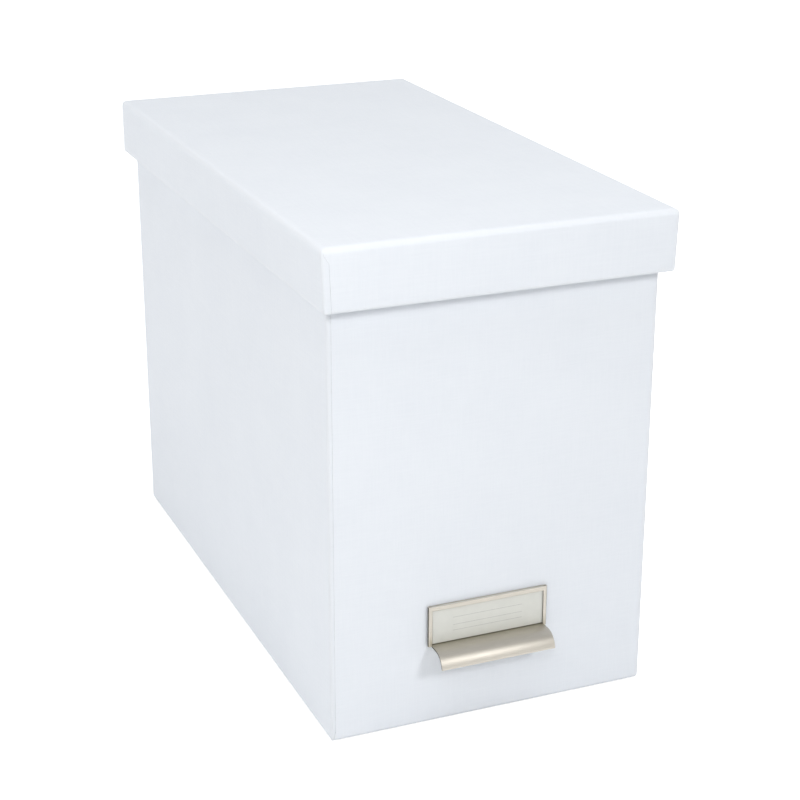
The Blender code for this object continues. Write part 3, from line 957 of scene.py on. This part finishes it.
@dataclass(frozen=True)
class Metal(Finish):
    """Plated sheet metal with a lengthwise grain, with painted shade towards a crease and on its flanks."""

    name: str
    colour: Colour
    dull_colour: Colour
    crease_shade_colour: Colour
    flank_shade_colour: Colour
    roughness: float
    rough_spread: Span = (-0.02, 0.03)
    grain_length: float = 0.006
    grain_width: float = 0.00008
    grain_share: float = 0.5
    relief: float = 0.000004
    flank_shade_span: Span = (0.55, 0.9)
    crease_line: Point = (0.0, 0.0)
    crease_shade_reach: float = 0.0

    def dress(self, graph: Graph, shader: Node, place: NodeSocket) -> None:
        """Feeds the shader with the grain, with painted shade on the flanks, and with painted shade towards
        the crease if the piece has one.

        Args:
            graph: The graph of the material.
            shader: The shader that is fed.
            place: The point on the piece, in metres.
        """
        grain = DrawnGrain.place(graph, Place=place, Length=self.grain_length, Width=self.grain_width)
        sheet = graph.mix(graph.remap(grain["Streak"], NOISE_SPAN), self.colour, self.dull_colour)
        # Painted shade: the colour darkens smoothly towards the crease line, where shade falls in the fold.
        if self.crease_shade_reach:
            _, y, z = graph.split(place)
            away = [graph.math("SUBTRACT", one, at) for one, at in zip((y, z), self.crease_line)]
            squares = [graph.math("MULTIPLY", one, one) for one in away]
            distance = graph.math("SQRT", graph.math("ADD", *squares))
            crease = graph.remap(distance, (0.0, self.crease_shade_reach), FADE, smooth=True)
            sheet = graph.mix(crease, sheet, self.crease_shade_colour)
        # Painted shade: faces that look along X are painted darker.
        facing = graph.split(graph.add("NewGeometry").outputs["Normal"])[0]
        flank_shade = graph.remap(graph.math("ABSOLUTE", facing), self.flank_shade_span, smooth=True)
        graph.feed(shader.inputs["Base Color"], graph.mix(flank_shade, sheet, self.flank_shade_colour))
        shader.inputs["Metallic"].default_value = 1.0
        uneven = graph.weigh(grain["Height"], self.grain_share, grain["Cloud"], 1 - self.grain_share)
        smoothest, roughest = (self.roughness + spread for spread in self.rough_spread)
        graph.feed(shader.inputs["Roughness"], graph.remap(uneven, NOISE_SPAN, (smoothest, roughest)))
        self.emboss(graph, shader, grain["Height"], self.relief)


# The two wrapped trays


@dataclass(frozen=True)
class Wrap:
    """The covering paper of a tray that opens upwards, with end flaps laid over the ears of its side flaps.

    Heights are measured from the tray's panel. A depth is measured inwards from the tray's outside.
    """

    half_x: float
    half_y: float
    height: float
    wall: float
    corner_radius: float
    panel_bend: float
    rim_share: float
    turn_in: float
    flap_inset: float
    flap_run: float
    covering: Covering
    paper: float = 0.00035
    flap: float = 0.0003
    turn_under: float = 0.015
    flap_start_share: float = 0.45
    flap_rise_share: float = 0.6
    flap_slope: float = 0.00004
    corner_steps: int = 10
    bend_steps: int = 10
    mitre_steps: int = 4
    wall_steps: int = 6
    long_steps: int = 24
    short_steps: int = 16
    least_radius: float = 0.0003
    shading_margin: float = 0.0008

    def profile(self) -> list[tuple[float, float, float, float]]:
        """Follows the paper's outer face from its end under the panel to its end inside the wall.

        Returns:
            For each ring its depth, its height, how far the flap is raised and how far it is set back.
        """
        bend, rim, top = self.panel_bend, self.wall * self.rim_share, self.height
        under = [(self.turn_under, 0.0), (bend + self.shading_margin, 0.0)]
        under += arc((bend, bend), bend, 270, 180, self.bend_steps)
        over = arc((rim, top - rim), rim, 180, 90, self.bend_steps)
        inside = [
            *arc((self.wall - rim, top - rim), rim, 90, 0, self.bend_steps),
            (self.wall, top - self.turn_in),
        ]
        rings = []
        for depth, height in under:
            start = smooth_step(height, bend * self.flap_start_share, bend)
            rings.append((depth, height, self.flap_rise_share * self.flap * start, 0.0))
        for k in range(1, self.mitre_steps + 1):
            share = k / self.mitre_steps
            raised = self.flap * (self.flap_rise_share + (1 - self.flap_rise_share) * share)
            rings.append((0.0, bend + self.flap_run * share, raised, self.flap_inset * share))
        for height in between(bend + self.flap_run, top - rim, self.wall_steps):
            rings.append((0.0, height, self.flap, self.flap_inset))
        for k, (depth, height) in enumerate(over):
            rings.append((depth, height, self.flap * (1 - k / self.bend_steps), self.flap_inset))
        return [*rings, *((depth, height, 0.0, self.flap_inset) for depth, height in inside)]

    def ring(self, depth: float, height: float, raised: float, inset: float) -> list[Place]:
        """Places the points round the tray at one height and depth.

        Args:
            depth: How deep they lie.
            height: How high they lie.
            raised: How far the end flaps stand out there.
            inset: How far the flaps' edges are set back from the corners there.

        Returns:
            The points, in the same order for every ring.
        """
        half_x, half_y = self.half_x - depth, self.half_y - self.flap - depth
        radius = max(self.corner_radius - depth, self.least_radius)
        straight_x, straight_y = half_x - radius, half_y - radius
        edge = min(self.half_x - self.corner_radius - inset, straight_x) - self.flap_slope
        face = half_y + raised
        points = arc((straight_x, -straight_y), radius, -90, 0, self.corner_steps)
        points += [(half_x, y) for y in between(-straight_y, straight_y, self.long_steps)]
        points += arc((straight_x, straight_y), radius, 0, 90, self.corner_steps)
        points += [(edge, half_y), (edge - self.flap_slope, face)]
        points += [(x, face) for x in between(edge, -edge, self.short_steps)]
        points += [(self.flap_slope - edge, face), (-edge, half_y)]
        points += [(-x, -y) for x, y in points]
        return [(x, y, height) for x, y in points]

    def shape(self, place: Callable[[float, float, float], Place]) -> Shape:
        """Builds the sheet.

        Args:
            place: Gives the point in the frame of a point of the tray.

        Returns:
            The sheet as a closed shape, with material index 1 on the flaps' cut edges and 2 on their mitres.
        """
        profile = self.profile()
        behind = offset_path([ring[:2] for ring in profile], self.paper)
        rings = [self.ring(*ring) for ring in profile]
        outer = len(rings)
        insets = [ring[3] for ring in profile]
        rings += [self.ring(*point, 0.0, inset) for point, inset in zip(reversed(behind), reversed(insets))]
        half = len(rings[0]) // 2
        foot = 2 * (self.corner_steps + 1) + self.long_steps - 1
        cuts = {foot, half - 2, foot + half, 2 * half - 2}

        def finish_of(row: int, column: int) -> int:
            """Tells the cut edges of the flaps and their mitres from the face of the paper.

            Args:
                row: The ring that a face starts at.
                column: The face's place in the ring.

            Returns:
                The material index of the face.
            """
            if row >= outer - 1 or column not in cuts or profile[row][2] <= 0.0:
                return 0
            return 2 if profile[row][1] < self.panel_bend + self.flap_run else 1

        placed = [[place(*point) for point in ring] for ring in rings]
        return Shape().loft(placed, self.covering is Covering.WALLS, finish_of)


@dataclass(frozen=True)
class Lean:
    """How the lid's skirt leans in at its front corners, as hand-folded board does."""

    top: float
    bottom: float
    half_x: float
    half_y: float
    left: float = 0.0014
    right: float = 0.0012

    def move(self, point: Vector) -> Vector:
        """Gives a point's leaned place.

        Args:
            point: The point before.

        Returns:
            The point after. The panel and the back end stay where they are.
        """
        down = (self.top - point.z) / (self.top - self.bottom)
        forward = min(max((self.half_y - point.y) / (2 * self.half_y), 0.0), 1.0)
        lean = self.right if point.x > 0 else self.left
        return Vector((point.x * (1 - lean * down * forward / self.half_x), point.y, point.z))


@dataclass
class Tray:
    """What the body and the lid share: board walls in a wrapped covering paper."""

    body: str
    covering: Covering
    corner_radius: float
    panel_bend: float
    rim_share: float
    turn_in: float
    flap_inset: float
    flap_run: float
    wall: float = 0.0039

    def cover(self, name: str, paper: str, low: Vector, high: Vector, lean: Lean | None = None) -> Object:
        """Builds the covering paper. A tray whose panel is covered too opens downwards.

        Args:
            name: The name of the covering.
            paper: The name of its material.
            low: The lowest corner of the tray.
            high: Its highest corner.
            lean: How the tray leans, if it does.

        Returns:
            The covering.
        """
        wrap = Wrap(
            high.x, high.y, high.z - low.z, self.wall, self.corner_radius, self.panel_bend, self.rim_share,
            self.turn_in, self.flap_inset, self.flap_run, self.covering,
        )
        panel, up = (low.z, 1) if self.covering is Covering.WALLS else (high.z, -1)
        shape = wrap.shape(lambda x, y, z: (x, y, panel + up * z))
        if lean is not None:
            shape.warp(lean.move)
        finish = CoveringPaper(paper, tuple((low + high) / 2), tuple((high - low) / 2))
        finishes = (finish.material(), CUT_EDGE.material(), MITRE_EDGE.material())
        return add_piece(name, shape.mesh(name), finishes, self.body)


@dataclass
class Body(Tray):
    """The box's body: its board, papers, base sheet and lining."""

    body: str = "box"
    covering: Covering = Covering.WALLS
    corner_radius: float = 0.0015
    panel_bend: float = 0.0025
    rim_share: float = 0.33
    turn_in: float = 0.018
    flap_inset: float = 0.0008
    flap_run: float = 0.0036

    def build(self) -> None:
        """Builds the covering paper, and dresses the nodes that stay."""
        low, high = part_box("body_wrap")
        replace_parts(self.cover("body_covering", "body_linen_paper", low, high), "body_wrap")
        for node in ("body_lining", "floor_liner", "base_sheet"):
            dress_node(node, LINING.material())
        dress_node("body_board", GREY_BOARD.material())
        for corner in CORNERS:
            dress_node(f"body_stay_{corner}", STAY_TAPE.material())


@dataclass
class Lid(Tray):
    """The lift-off lid: its board, papers and lining, all leaned in a little at the front."""

    body: str = "lid"
    covering: Covering = Covering.WALLS_AND_PANEL
    corner_radius: float = 0.0013
    panel_bend: float = 0.0033
    rim_share: float = 0.41
    turn_in: float = 0.014
    flap_inset: float = 0.0025
    flap_run: float = 0.0042

    def build(self) -> None:
        """Builds the covering paper, and leans the board, stays and lining with it."""
        low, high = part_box("lid_wrap")
        lean = Lean(high.z, low.z, high.x, high.y)
        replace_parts(self.cover("lid_covering", "lid_linen_paper", low, high, lean), "lid_wrap")
        self.lean_node("lid_board", "lid_core", GREY_BOARD, "grey_board", lean)
        self.lean_node("lid_lining", "lid_inner_paper", LINING, "lining_paper", lean)
        for corner in CORNERS:
            self.lean_node(f"lid_stay_{corner}", f"lid_tape_{corner}", STAY_TAPE, "stay_tape", lean)

    def lean_node(self, node: str, name: str, finish: Finish, slot: str, lean: Lean) -> None:
        """Builds the leaned piece that stands for a node.

        Args:
            node: The CAD node.
            name: The new piece's name.
            finish: What it is dressed in.
            slot: Not used.
            lean: How it leans.
        """
        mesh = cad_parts[node].data.copy()
        mesh.name = name
        mesh.materials.clear()
        for corner in mesh.vertices:
            corner.co = lean.move(corner.co)
        piece = add_piece(name, mesh, (finish.material(),), self.body)
        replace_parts(piece, node)


# Rails and rivets


@dataclass
class Rail:
    """One folded steel rail with its two rivets."""

    end: End
    body: str = "box"
    sheet: float = 0.001
    bend: float = 0.0015
    trough: float = 0.008
    fin_height: float = 0.010
    corner_radius: float = 0.004
    edge: float = 0.00018
    bend_steps: int = 12
    corner_steps: int = 12
    hole_steps: int = 32
    hole_gap: float = 0.0004
    overrun: float = 0.002

    def build(self) -> None:
        """Builds the rail and its rivets."""
        node = f"{self.end.name.lower()}_rail"
        low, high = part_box(node)
        out = self.end.value
        outer = high.y if out > 0 else low.y
        flange = outer - out * self.sheet / 2
        fin = outer - out * (self.sheet + self.trough + self.sheet / 2)
        web = low.z + self.sheet / 2
        nose = self.sheet / 2
        fin_top = low.z + self.fin_height + self.sheet / 2
        corners = [(flange, high.z - nose), (flange, web), (fin, web), (fin, fin_top - nose)]
        outline = sheet_outline(folded_path(corners, self.bend, self.bend_steps), self.sheet)
        shape = Shape().prism(outline, (low.x, high.x), lambda a, b, cut: (cut, a, b))
        steel = RAIL_STEEL.material()
        rail = add_piece(f"{node}_formed", shape.mesh(f"{node}_formed"), (steel,), self.body)
        for side in Side:
            x = high.x if side is Side.RIGHT else low.x
            for top, y in ((high.z, flange), (fin_top, fin)):
                combine(rail, "DIFFERENCE", self.corner_cutter(side, x, top, y))
        rivets = [f"{node}_rivet_{side.name.lower()}" for side in Side]
        for rivet in rivets:
            combine(rail, "DIFFERENCE", self.hole_cutter(rivet))
            pierce_covering(self.hole_cutter(rivet))
        ease_edges(rail, self.edge)
        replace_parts(rail, node)
        for rivet in rivets:
            Rivet(rivet, self.end).build()

    def corner_cutter(self, side: Side, x: float, top: float, y: float) -> Shape:
        """Shapes what is cut away to round an upper corner.

        Args:
            side: The rail's end that it is at.
            x: Where that end is.
            top: The height of the upper edge.
            y: Where the sheet stands.

        Returns:
            The cutter.
        """
        radius, out = self.corner_radius, side.value
        inner, beyond = x - out * radius, x + out * self.overrun
        round_part = arc((0.0, 0.0), radius, 0, 90, self.corner_steps)
        outline = [(inner + out * a, top - radius + b) for a, b in round_part]
        outline += [(inner, top + self.overrun), (beyond, top + self.overrun), (beyond, top - radius)]
        cuts = (y - self.sheet, y + self.sheet)
        return Shape().prism(outline, cuts, lambda a, b, cut: (a, cut, b))

    def hole_cutter(self, rivet: str) -> Shape:
        """Shapes the hole that a rivet's shank passes through.

        Args:
            rivet: The rivet's node.

        Returns:
            The cutter.
        """
        low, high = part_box(rivet)
        middle = (low + high) / 2
        radius = Rivet.shank + self.hole_gap
        outline = arc((middle.x, middle.z), radius, 0, 360, self.hole_steps)[:-1]
        return Shape().prism(outline, (low.y, high.y), lambda a, b, cut: (a, cut, b))


@dataclass
class Rivet:
    """A semi-tubular rivet with a low round head outside and a rolled end inside."""

    node: str
    end: End
    body: str = "box"
    head: float = 0.0035
    head_height: float = 0.0007
    clinch: float = 0.0028
    clinch_height: float = 0.0009
    bore: float = 0.0008
    bore_depth: float = 0.002
    rim: float = 0.00016
    shank: float = 0.0016
    steps: int = 40
    dome_steps: int = 8
    roll_steps: int = 8
    lip_steps: int = 4

    def profile(self, head: float, tip: float) -> list[Point]:
        """Draws the rivet from the crown of its head to the floor of its bore.

        Args:
            head: Height of the crown.
            tip: Height of the rolled end's tip.

        Returns:
            Radius and height of each point.
        """
        seat = head - self.head_height
        rise = self.head_height - self.rim
        turns = [math.radians(90 * k / self.dome_steps) for k in range(1, self.dome_steps + 1)]
        dome = [(self.head * math.sin(turn), seat + self.rim + rise * math.cos(turn)) for turn in turns]
        roll_radius = self.clinch_height / 2
        middle = (self.clinch - roll_radius, tip + roll_radius)
        roll = arc(middle, roll_radius, 90, -90, self.roll_steps)
        lip = arc((self.bore + self.rim, tip + self.rim), self.rim, -90, -180, self.lip_steps)
        floor = tip + self.bore_depth
        return [
            (0.0, head), *dome, (self.head, seat), (self.shank, seat), (self.shank, tip + self.clinch_height),
            *roll, *lip, (self.bore, floor), (0.0, floor),
        ]

    def build(self) -> None:
        """Builds the rivet in its node's place."""
        low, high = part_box(self.node)
        middle = (low + high) / 2
        out = self.end.value
        head, tip = (high.y, low.y) if out > 0 else (-low.y, -high.y)
        turn = Matrix.Rotation(math.radians(-90 * out), 4, "X")
        place = Matrix.Translation((middle.x, 0.0, middle.z)) @ turn
        shape = Shape().lathe(self.profile(head, tip), self.steps, place)
        name = f"{self.node}_turned"
        piece = add_piece(name, shape.mesh(name), (RAIL_STEEL.material(),), self.body)
        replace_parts(piece, self.node)


# The label holder and its card


@dataclass
class LabelHolder:
    """One stamped piece of plated steel: back plate, rolled bars, curved pull and clinched prongs."""

    body: str = "box"
    sheet: float = 0.0007
    width: float = 0.0676
    height: float = 0.0224
    fold: float = 0.0007
    side_bar: float = 0.0023
    top_bar: float = 0.0024
    card_slot: float = 0.0008
    pull_width: float = 0.0642
    pull_shelf: float = 0.00769
    pull_radius: float = 0.0085
    pull_turn: float = 82.0
    root_lap: float = 0.003
    prong_width: float = 0.005
    prong_clinch: float = 0.0055
    prong_inset: float = 0.0065
    prong_lap: float = 0.002
    prong_rows: tuple[float, ...] = (0.32, 0.72)
    window_gap: float = 0.0004
    slot_depth: float = 0.002
    edge: float = 0.00014
    bend_steps: int = 10
    pull_steps: int = 40
    origin: Vector = field(default_factory=Vector)
    reach: float = 0.0

    def place(self) -> None:
        """Reads from the frame where the back plate's foot is, and how far the prongs reach in."""
        low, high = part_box("label_holder")
        plate_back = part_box("label_card")[1].y + self.sheet + self.card_back_gap
        self.origin = Vector(((low.x + high.x) / 2, plate_back, high.z - self.height))
        self.reach = high.y - plate_back - self.sheet

    @property
    def card_back_gap(self) -> float:
        """Air between the card's back and the plate's front."""
        low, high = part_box("label_card")
        return (self.card_slot - (high.y - low.y)) / 2

    def from_above(self, a: float, b: float, cut: float) -> Place:
        """Places a point of a section that is seen from above."""
        return (self.origin.x + a, self.origin.y + b, self.origin.z + cut)

    def from_side(self, a: float, b: float, cut: float) -> Place:
        """Places a point of a section that is seen from the side."""
        return (self.origin.x + cut, self.origin.y + a, self.origin.z + b)

    @property
    def prong_root(self) -> float:
        """How far from the middle a prong is bent back."""
        return self.width / 2 - self.prong_inset

    def channel(self) -> list[Point]:
        """Draws the back plate, the folded sides and the side bars, seen from above.

        Returns:
            The outline.
        """
        back = -self.sheet / 2
        bar = back - self.sheet - self.card_slot
        side = (self.width - self.sheet) / 2
        tip = self.width / 2 - self.side_bar + self.sheet / 2
        corners = [(-tip, bar), (-side, bar), (-side, back), (side, back), (side, bar), (tip, bar)]
        return sheet_outline(folded_path(corners, self.fold, self.bend_steps), self.sheet)

    def pull(self) -> list[Point]:
        """Draws the lap on the plate, the shelf and the curved lip, seen from the side.

        Returns:
            The outline.
        """
        back, shelf = -self.sheet / 2, self.sheet / 2
        middle = self.pull_radius - self.sheet / 2
        root = [(back, shelf + self.root_lap), (back, shelf), (-self.pull_shelf, shelf)]
        lip = arc((-self.pull_shelf, shelf - middle), middle, 90, 90 + self.pull_turn, self.pull_steps)
        return sheet_outline([*folded_path(root, self.fold, self.bend_steps)[:-1], *lip], self.sheet)

    def bar(self) -> list[Point]:
        """Draws the top bar, seen from the side.

        Returns:
            The outline.
        """
        middle = -(2 * self.sheet + self.card_slot) + self.sheet / 2
        nose = self.sheet / 2
        path = [(middle, self.height - self.top_bar + nose), (middle, self.height - nose)]
        return sheet_outline(path, self.sheet)

    def prong(self, side: Side) -> list[Point]:
        """Draws a prong of one side, seen from above.

        Args:
            side: The side that it is on.

        Returns:
            The outline.
        """
        root = self.prong_root
        back, clinched = -self.sheet / 2, self.reach + self.sheet / 2
        corners = [
            (root + self.fold + self.prong_lap, back),
            (root, back),
            (root, clinched),
            (root - self.prong_clinch, clinched),
        ]
        outline = sheet_outline(folded_path(corners, self.fold, self.bend_steps), self.sheet)
        return [(side.value * a, b) for a, b in outline]

    def opening(self, ends: Span, heights: Span, cuts: Span) -> Shape:
        """Shapes a square opening.

        Args:
            ends: How far its two sides lie from the middle of the holder.
            heights: Its lower and upper edge, above the foot of the plate.
            cuts: How far in front of and behind the plate's back it reaches.

        Returns:
            The cutter.
        """
        (left, right), (low, high) = sorted(ends), heights
        outline = [(left, low), (right, low), (right, high), (left, high)]
        x, y, z = self.origin
        return Shape().prism(outline, (y - cuts[0], y + cuts[1]), lambda a, b, cut: (x + a, cut, z + b))

    def window(self, side: Side, heights: Span) -> Shape:
        """Shapes the opening in the plate that a prong was lanced from.

        Args:
            side: The side that the prong is on.
            heights: The opening's lower and upper edge.

        Returns:
            The cutter.
        """
        root = self.prong_root
        tongue = self.reach + self.prong_clinch + self.sheet
        ends = (side.value * (root + self.fold), side.value * (root - tongue))
        return self.opening(ends, heights, (self.sheet + self.card_slot / 2, self.sheet))

    def paper_slot(self, side: Side, heights: Span) -> Shape:
        """Shapes the slot in the covering paper that a prong passes through.

        Args:
            side: The side that the prong is on.
            heights: The slot's lower and upper edge.

        Returns:
            The cutter.
        """
        root, half = self.prong_root, self.sheet / 2 + self.window_gap
        ends = (side.value * (root - half), side.value * (root + half))
        return self.opening(ends, heights, (self.sheet, self.slot_depth))

    def build(self) -> None:
        """Builds the holder from its sections."""
        self.place()
        shape = Shape().prism(self.channel(), (0.0, self.height), self.from_above)
        name = "label_holder_stamped"
        # Where the metal's painted crease shade is darkest: the foot of the plate.
        crease = (self.origin.y - self.sheet, self.origin.z + self.sheet)
        finish = replace(SATIN_NICKEL, crease_line=crease)
        holder = add_piece(name, shape.mesh(name), (finish.material(),), self.body)
        for share in self.prong_rows:
            low = share * self.height - self.prong_width / 2
            high = low + self.prong_width
            for side in Side:
                heights = (low - self.window_gap, high + self.window_gap)
                combine(holder, "DIFFERENCE", self.window(side, heights))
                pierce_covering(self.paper_slot(side, heights))
                combine(holder, "UNION", Shape().prism(self.prong(side), (low, high), self.from_above))
        half_bar = self.width / 2 - self.side_bar / 2
        combine(holder, "UNION", Shape().prism(self.bar(), (-half_bar, half_bar), self.from_side))
        half_pull = self.pull_width / 2
        combine(holder, "UNION", Shape().prism(self.pull(), (-half_pull, half_pull), self.from_side))
        ease_edges(holder, self.edge)
        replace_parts(holder, "label_holder")


@dataclass
class LabelCard:
    """The loose card in the holder, with faint ruled lines."""

    body: str = "label_card"
    corner_radius: float = 0.0012
    corner_steps: int = 8
    edge: float = 0.00008
    line_shares: tuple[float, ...] = (0.62, 0.42, 0.27)
    line_margin: float = 0.013

    def build(self) -> None:
        """Builds the card and rules it."""
        low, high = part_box("label_card")
        ends = (low.x, low.z), (high.x, high.z)
        outline = rounded_rectangle(*ends, self.corner_radius, self.corner_steps)
        shape = Shape().prism(outline, (low.y, high.y), lambda a, b, cut: (a, cut, b))
        heights = tuple(low.z + (high.z - low.z) * share for share in self.line_shares)
        reach = (low.x + self.line_margin, high.x - self.line_margin)
        finish = RuledCard("ruled_card_stock", heights, reach)
        mesh = shape.mesh("card_insert")
        card = add_piece("card_insert", mesh, (finish.material(),), self.body)
        ease_edges(card, self.edge)
        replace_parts(card, "label_card")


# The studio


@dataclass(frozen=True)
class Softbox:
    """A square soft light that faces the box.

    Its azimuth is 0 straight in front of the box and grows to the right, and both angles are in degrees.
    in_gloss tells whether gloss and metal show it.
    """

    name: str
    azimuth: float
    elevation: float
    distance: float
    size: float
    power: float
    target: Place = (0.0, 0.0, 0.12)
    in_gloss: bool = True

    def build(self) -> None:
        """Puts the light in the scene."""
        lamp = bpy.data.lights.new(self.name, "AREA")
        lamp.shape = "SQUARE"
        lamp.size = self.size
        lamp.energy = self.power
        made = bpy.data.objects.new(self.name, lamp)
        bpy.context.scene.collection.objects.link(made)
        turn, rise = math.radians(self.azimuth), math.radians(self.elevation)
        toward = Vector((math.sin(turn) * math.cos(rise), -math.cos(turn) * math.cos(rise), math.sin(rise)))
        made.location = Vector(self.target) + self.distance * toward
        made.rotation_euler = toward.to_track_quat("Z", "Y").to_euler()
        made.visible_camera = False
        made.visible_glossy = self.in_gloss


@dataclass
class Studio:
    """The pale floor, the soft light and the camera at the photograph's place."""

    floor_half: float = 6.0
    floor_colour: Colour = (0.90, 0.90, 0.90)
    floor_roughness: float = 0.9
    floor_gloss: float = 0.1
    floor_glow: float = 0.6
    glow_in_metal: float = 0.6
    dome: float = 0.389
    dome_in_metal: float = 0.42
    camera_place: Place = (-0.3816, -0.9610, 0.5107)
    azimuth: float = -22.606
    elevation: float = 20.879
    roll: float = 0.110
    lens: float = 85.10
    sensor: float = 36.0
    lights: tuple[Softbox, ...] = (
        Softbox("key", 20.0, 33.0, 5.0, 0.87, 63.0),
        Softbox("front_fill", -25.0, 30.0, 0.6, 0.3, 1.12, target=(-0.09, -0.17, 0.22)),
        Softbox("top_fill", 0.0, 85.0, 2.0, 1.2, 16.5, in_gloss=False),
        Softbox("left_fill", -100.0, 8.0, 2.0, 1.2, 5.0),
        Softbox("back_fill", -130.0, 12.0, 2.0, 1.2, 9.2),
        Softbox("far_fill", 130.0, 3.0, 3.0, 0.8, 30.0),
    )

    def build(self) -> None:
        """Builds the floor, the dome of light, the softboxes and the camera."""
        scene = bpy.context.scene
        scene.view_settings.view_transform = "Standard"
        self.build_floor()
        self.build_dome(scene)
        for light in self.lights:
            light.build()
        self.build_camera(scene)

    def build_floor(self) -> None:
        """Lays a pale floor. Its glow, for the camera and in gloss, leaves only a faint shadow."""
        half = self.floor_half
        shape = Shape()
        corners = ((-half, -half), (half, -half), (half, half), (-half, half))
        shape.work.faces.new([shape.work.verts.new((x, y, 0.0)) for x, y in corners])
        floor = bpy.data.objects.new("floor", shape.mesh("floor"))
        bpy.context.scene.collection.objects.link(floor)
        paint = bpy.data.materials.new("pale_floor")
        paint.use_nodes = True
        shader = paint.node_tree.nodes["Principled BSDF"]
        shader.inputs["Base Color"].default_value = (*self.floor_colour, 1.0)
        shader.inputs["Roughness"].default_value = self.floor_roughness
        shader.inputs["Specular IOR Level"].default_value = self.floor_gloss
        shader.inputs["Emission Color"].default_value = (self.floor_glow,) * 3 + (1.0,)
        graph = Graph(paint.node_tree)
        path = graph.add("LightPath").outputs
        seen = graph.math("MULTIPLY_ADD", path["Is Glossy Ray"], self.glow_in_metal, path["Is Camera Ray"])
        graph.feed(shader.inputs["Emission Strength"], seen)
        floor.data.materials.append(paint)

    def build_dome(self, scene: Scene) -> None:
        """Lights the scene from all round. The camera sees it white, and gloss sees its own strength.

        Args:
            scene: The scene.
        """
        world = bpy.data.worlds.new("studio")
        world.use_nodes = True
        scene.world = world
        graph = Graph(world.node_tree)
        path = graph.add("LightPath").outputs
        strength = graph.remap(path["Is Glossy Ray"], RISE, (self.dome, self.dome_in_metal))
        unseen = graph.math("MULTIPLY", strength, graph.math("SUBTRACT", 1.0, path["Is Camera Ray"]))
        back = world.node_tree.nodes["Background"]
        back.inputs["Color"].default_value = (1.0, 1.0, 1.0, 1.0)
        graph.feed(back.inputs["Strength"], graph.math("ADD", unseen, path["Is Camera Ray"]))

    def build_camera(self, scene: Scene) -> None:
        """Sets the camera where the photograph was taken from.

        Args:
            scene: The scene.
        """
        camera = bpy.data.cameras.new("camera")
        camera.lens = self.lens
        camera.sensor_width = self.sensor
        made = bpy.data.objects.new("camera", camera)
        scene.collection.objects.link(made)
        made.location = self.camera_place
        azimuth, elevation = math.radians(self.azimuth), math.radians(self.elevation)
        level = math.cos(elevation)
        forward = Vector((-math.sin(azimuth) * level, math.cos(azimuth) * level, -math.sin(elevation)))
        turn = forward.to_track_quat("-Z", "Y").to_matrix() @ Matrix.Rotation(math.radians(self.roll), 3, "Z")
        made.rotation_euler = turn.to_euler()
        scene.camera = made


CUT_EDGE = CutPaper("cut_paper_edge", (0.70, 0.72, 0.75), (0.58, 0.59, 0.60))
MITRE_EDGE = CutPaper("mitred_paper_edge", (0.50, 0.51, 0.52), (0.40, 0.405, 0.41))
GREY_BOARD = PlainPaper(
    "grey_board_core", (0.31, 0.30, 0.28), (0.26, 0.25, 0.235), (0.12, 0.12, 0.12), fleck_share=0.5,
    roughness=0.88,
)
STAY_TAPE = PlainPaper("stay_paper_tape", (0.55, 0.47, 0.36), (0.50, 0.42, 0.31), (0.36, 0.29, 0.2))
LINING = PlainPaper(
    "lining_sheet", (0.80, 0.81, 0.825), (0.77, 0.782, 0.80), (0.62, 0.62, 0.62), fleck_share=0.12,
    roughness=0.74,
)
# The third and fourth colours are painted shade: towards a crease, which is not used here, and on the flanks.
RAIL_STEEL = Metal(
    "zinc_plated_steel", (0.64, 0.645, 0.65), (0.52, 0.525, 0.535), (0.4, 0.4, 0.4), (0.46, 0.46, 0.46),
    roughness=0.34, grain_length=0.012, grain_width=0.0002,
)
# The third and fourth colours are painted shade: towards the pull's crease, and on the flanks.
SATIN_NICKEL = Metal(
    "satin_nickel_plate", (0.63, 0.596, 0.534), (0.60, 0.565, 0.503), (0.46, 0.43, 0.352),
    (0.14, 0.135, 0.12), roughness=0.50, crease_shade_reach=0.0072,
)


def main() -> None:
    """Builds and dresses the box, one sub-assembly after another."""
    logging.basicConfig(level=logging.INFO, format="%(message)s")
    for part in (Body(), Lid(), Rail(End.FRONT), Rail(End.BACK), LabelHolder(), LabelCard(), Studio()):
        LOG.info("building %s", type(part).__name__)
        part.build()


if __name__ == "__main__":
    main()
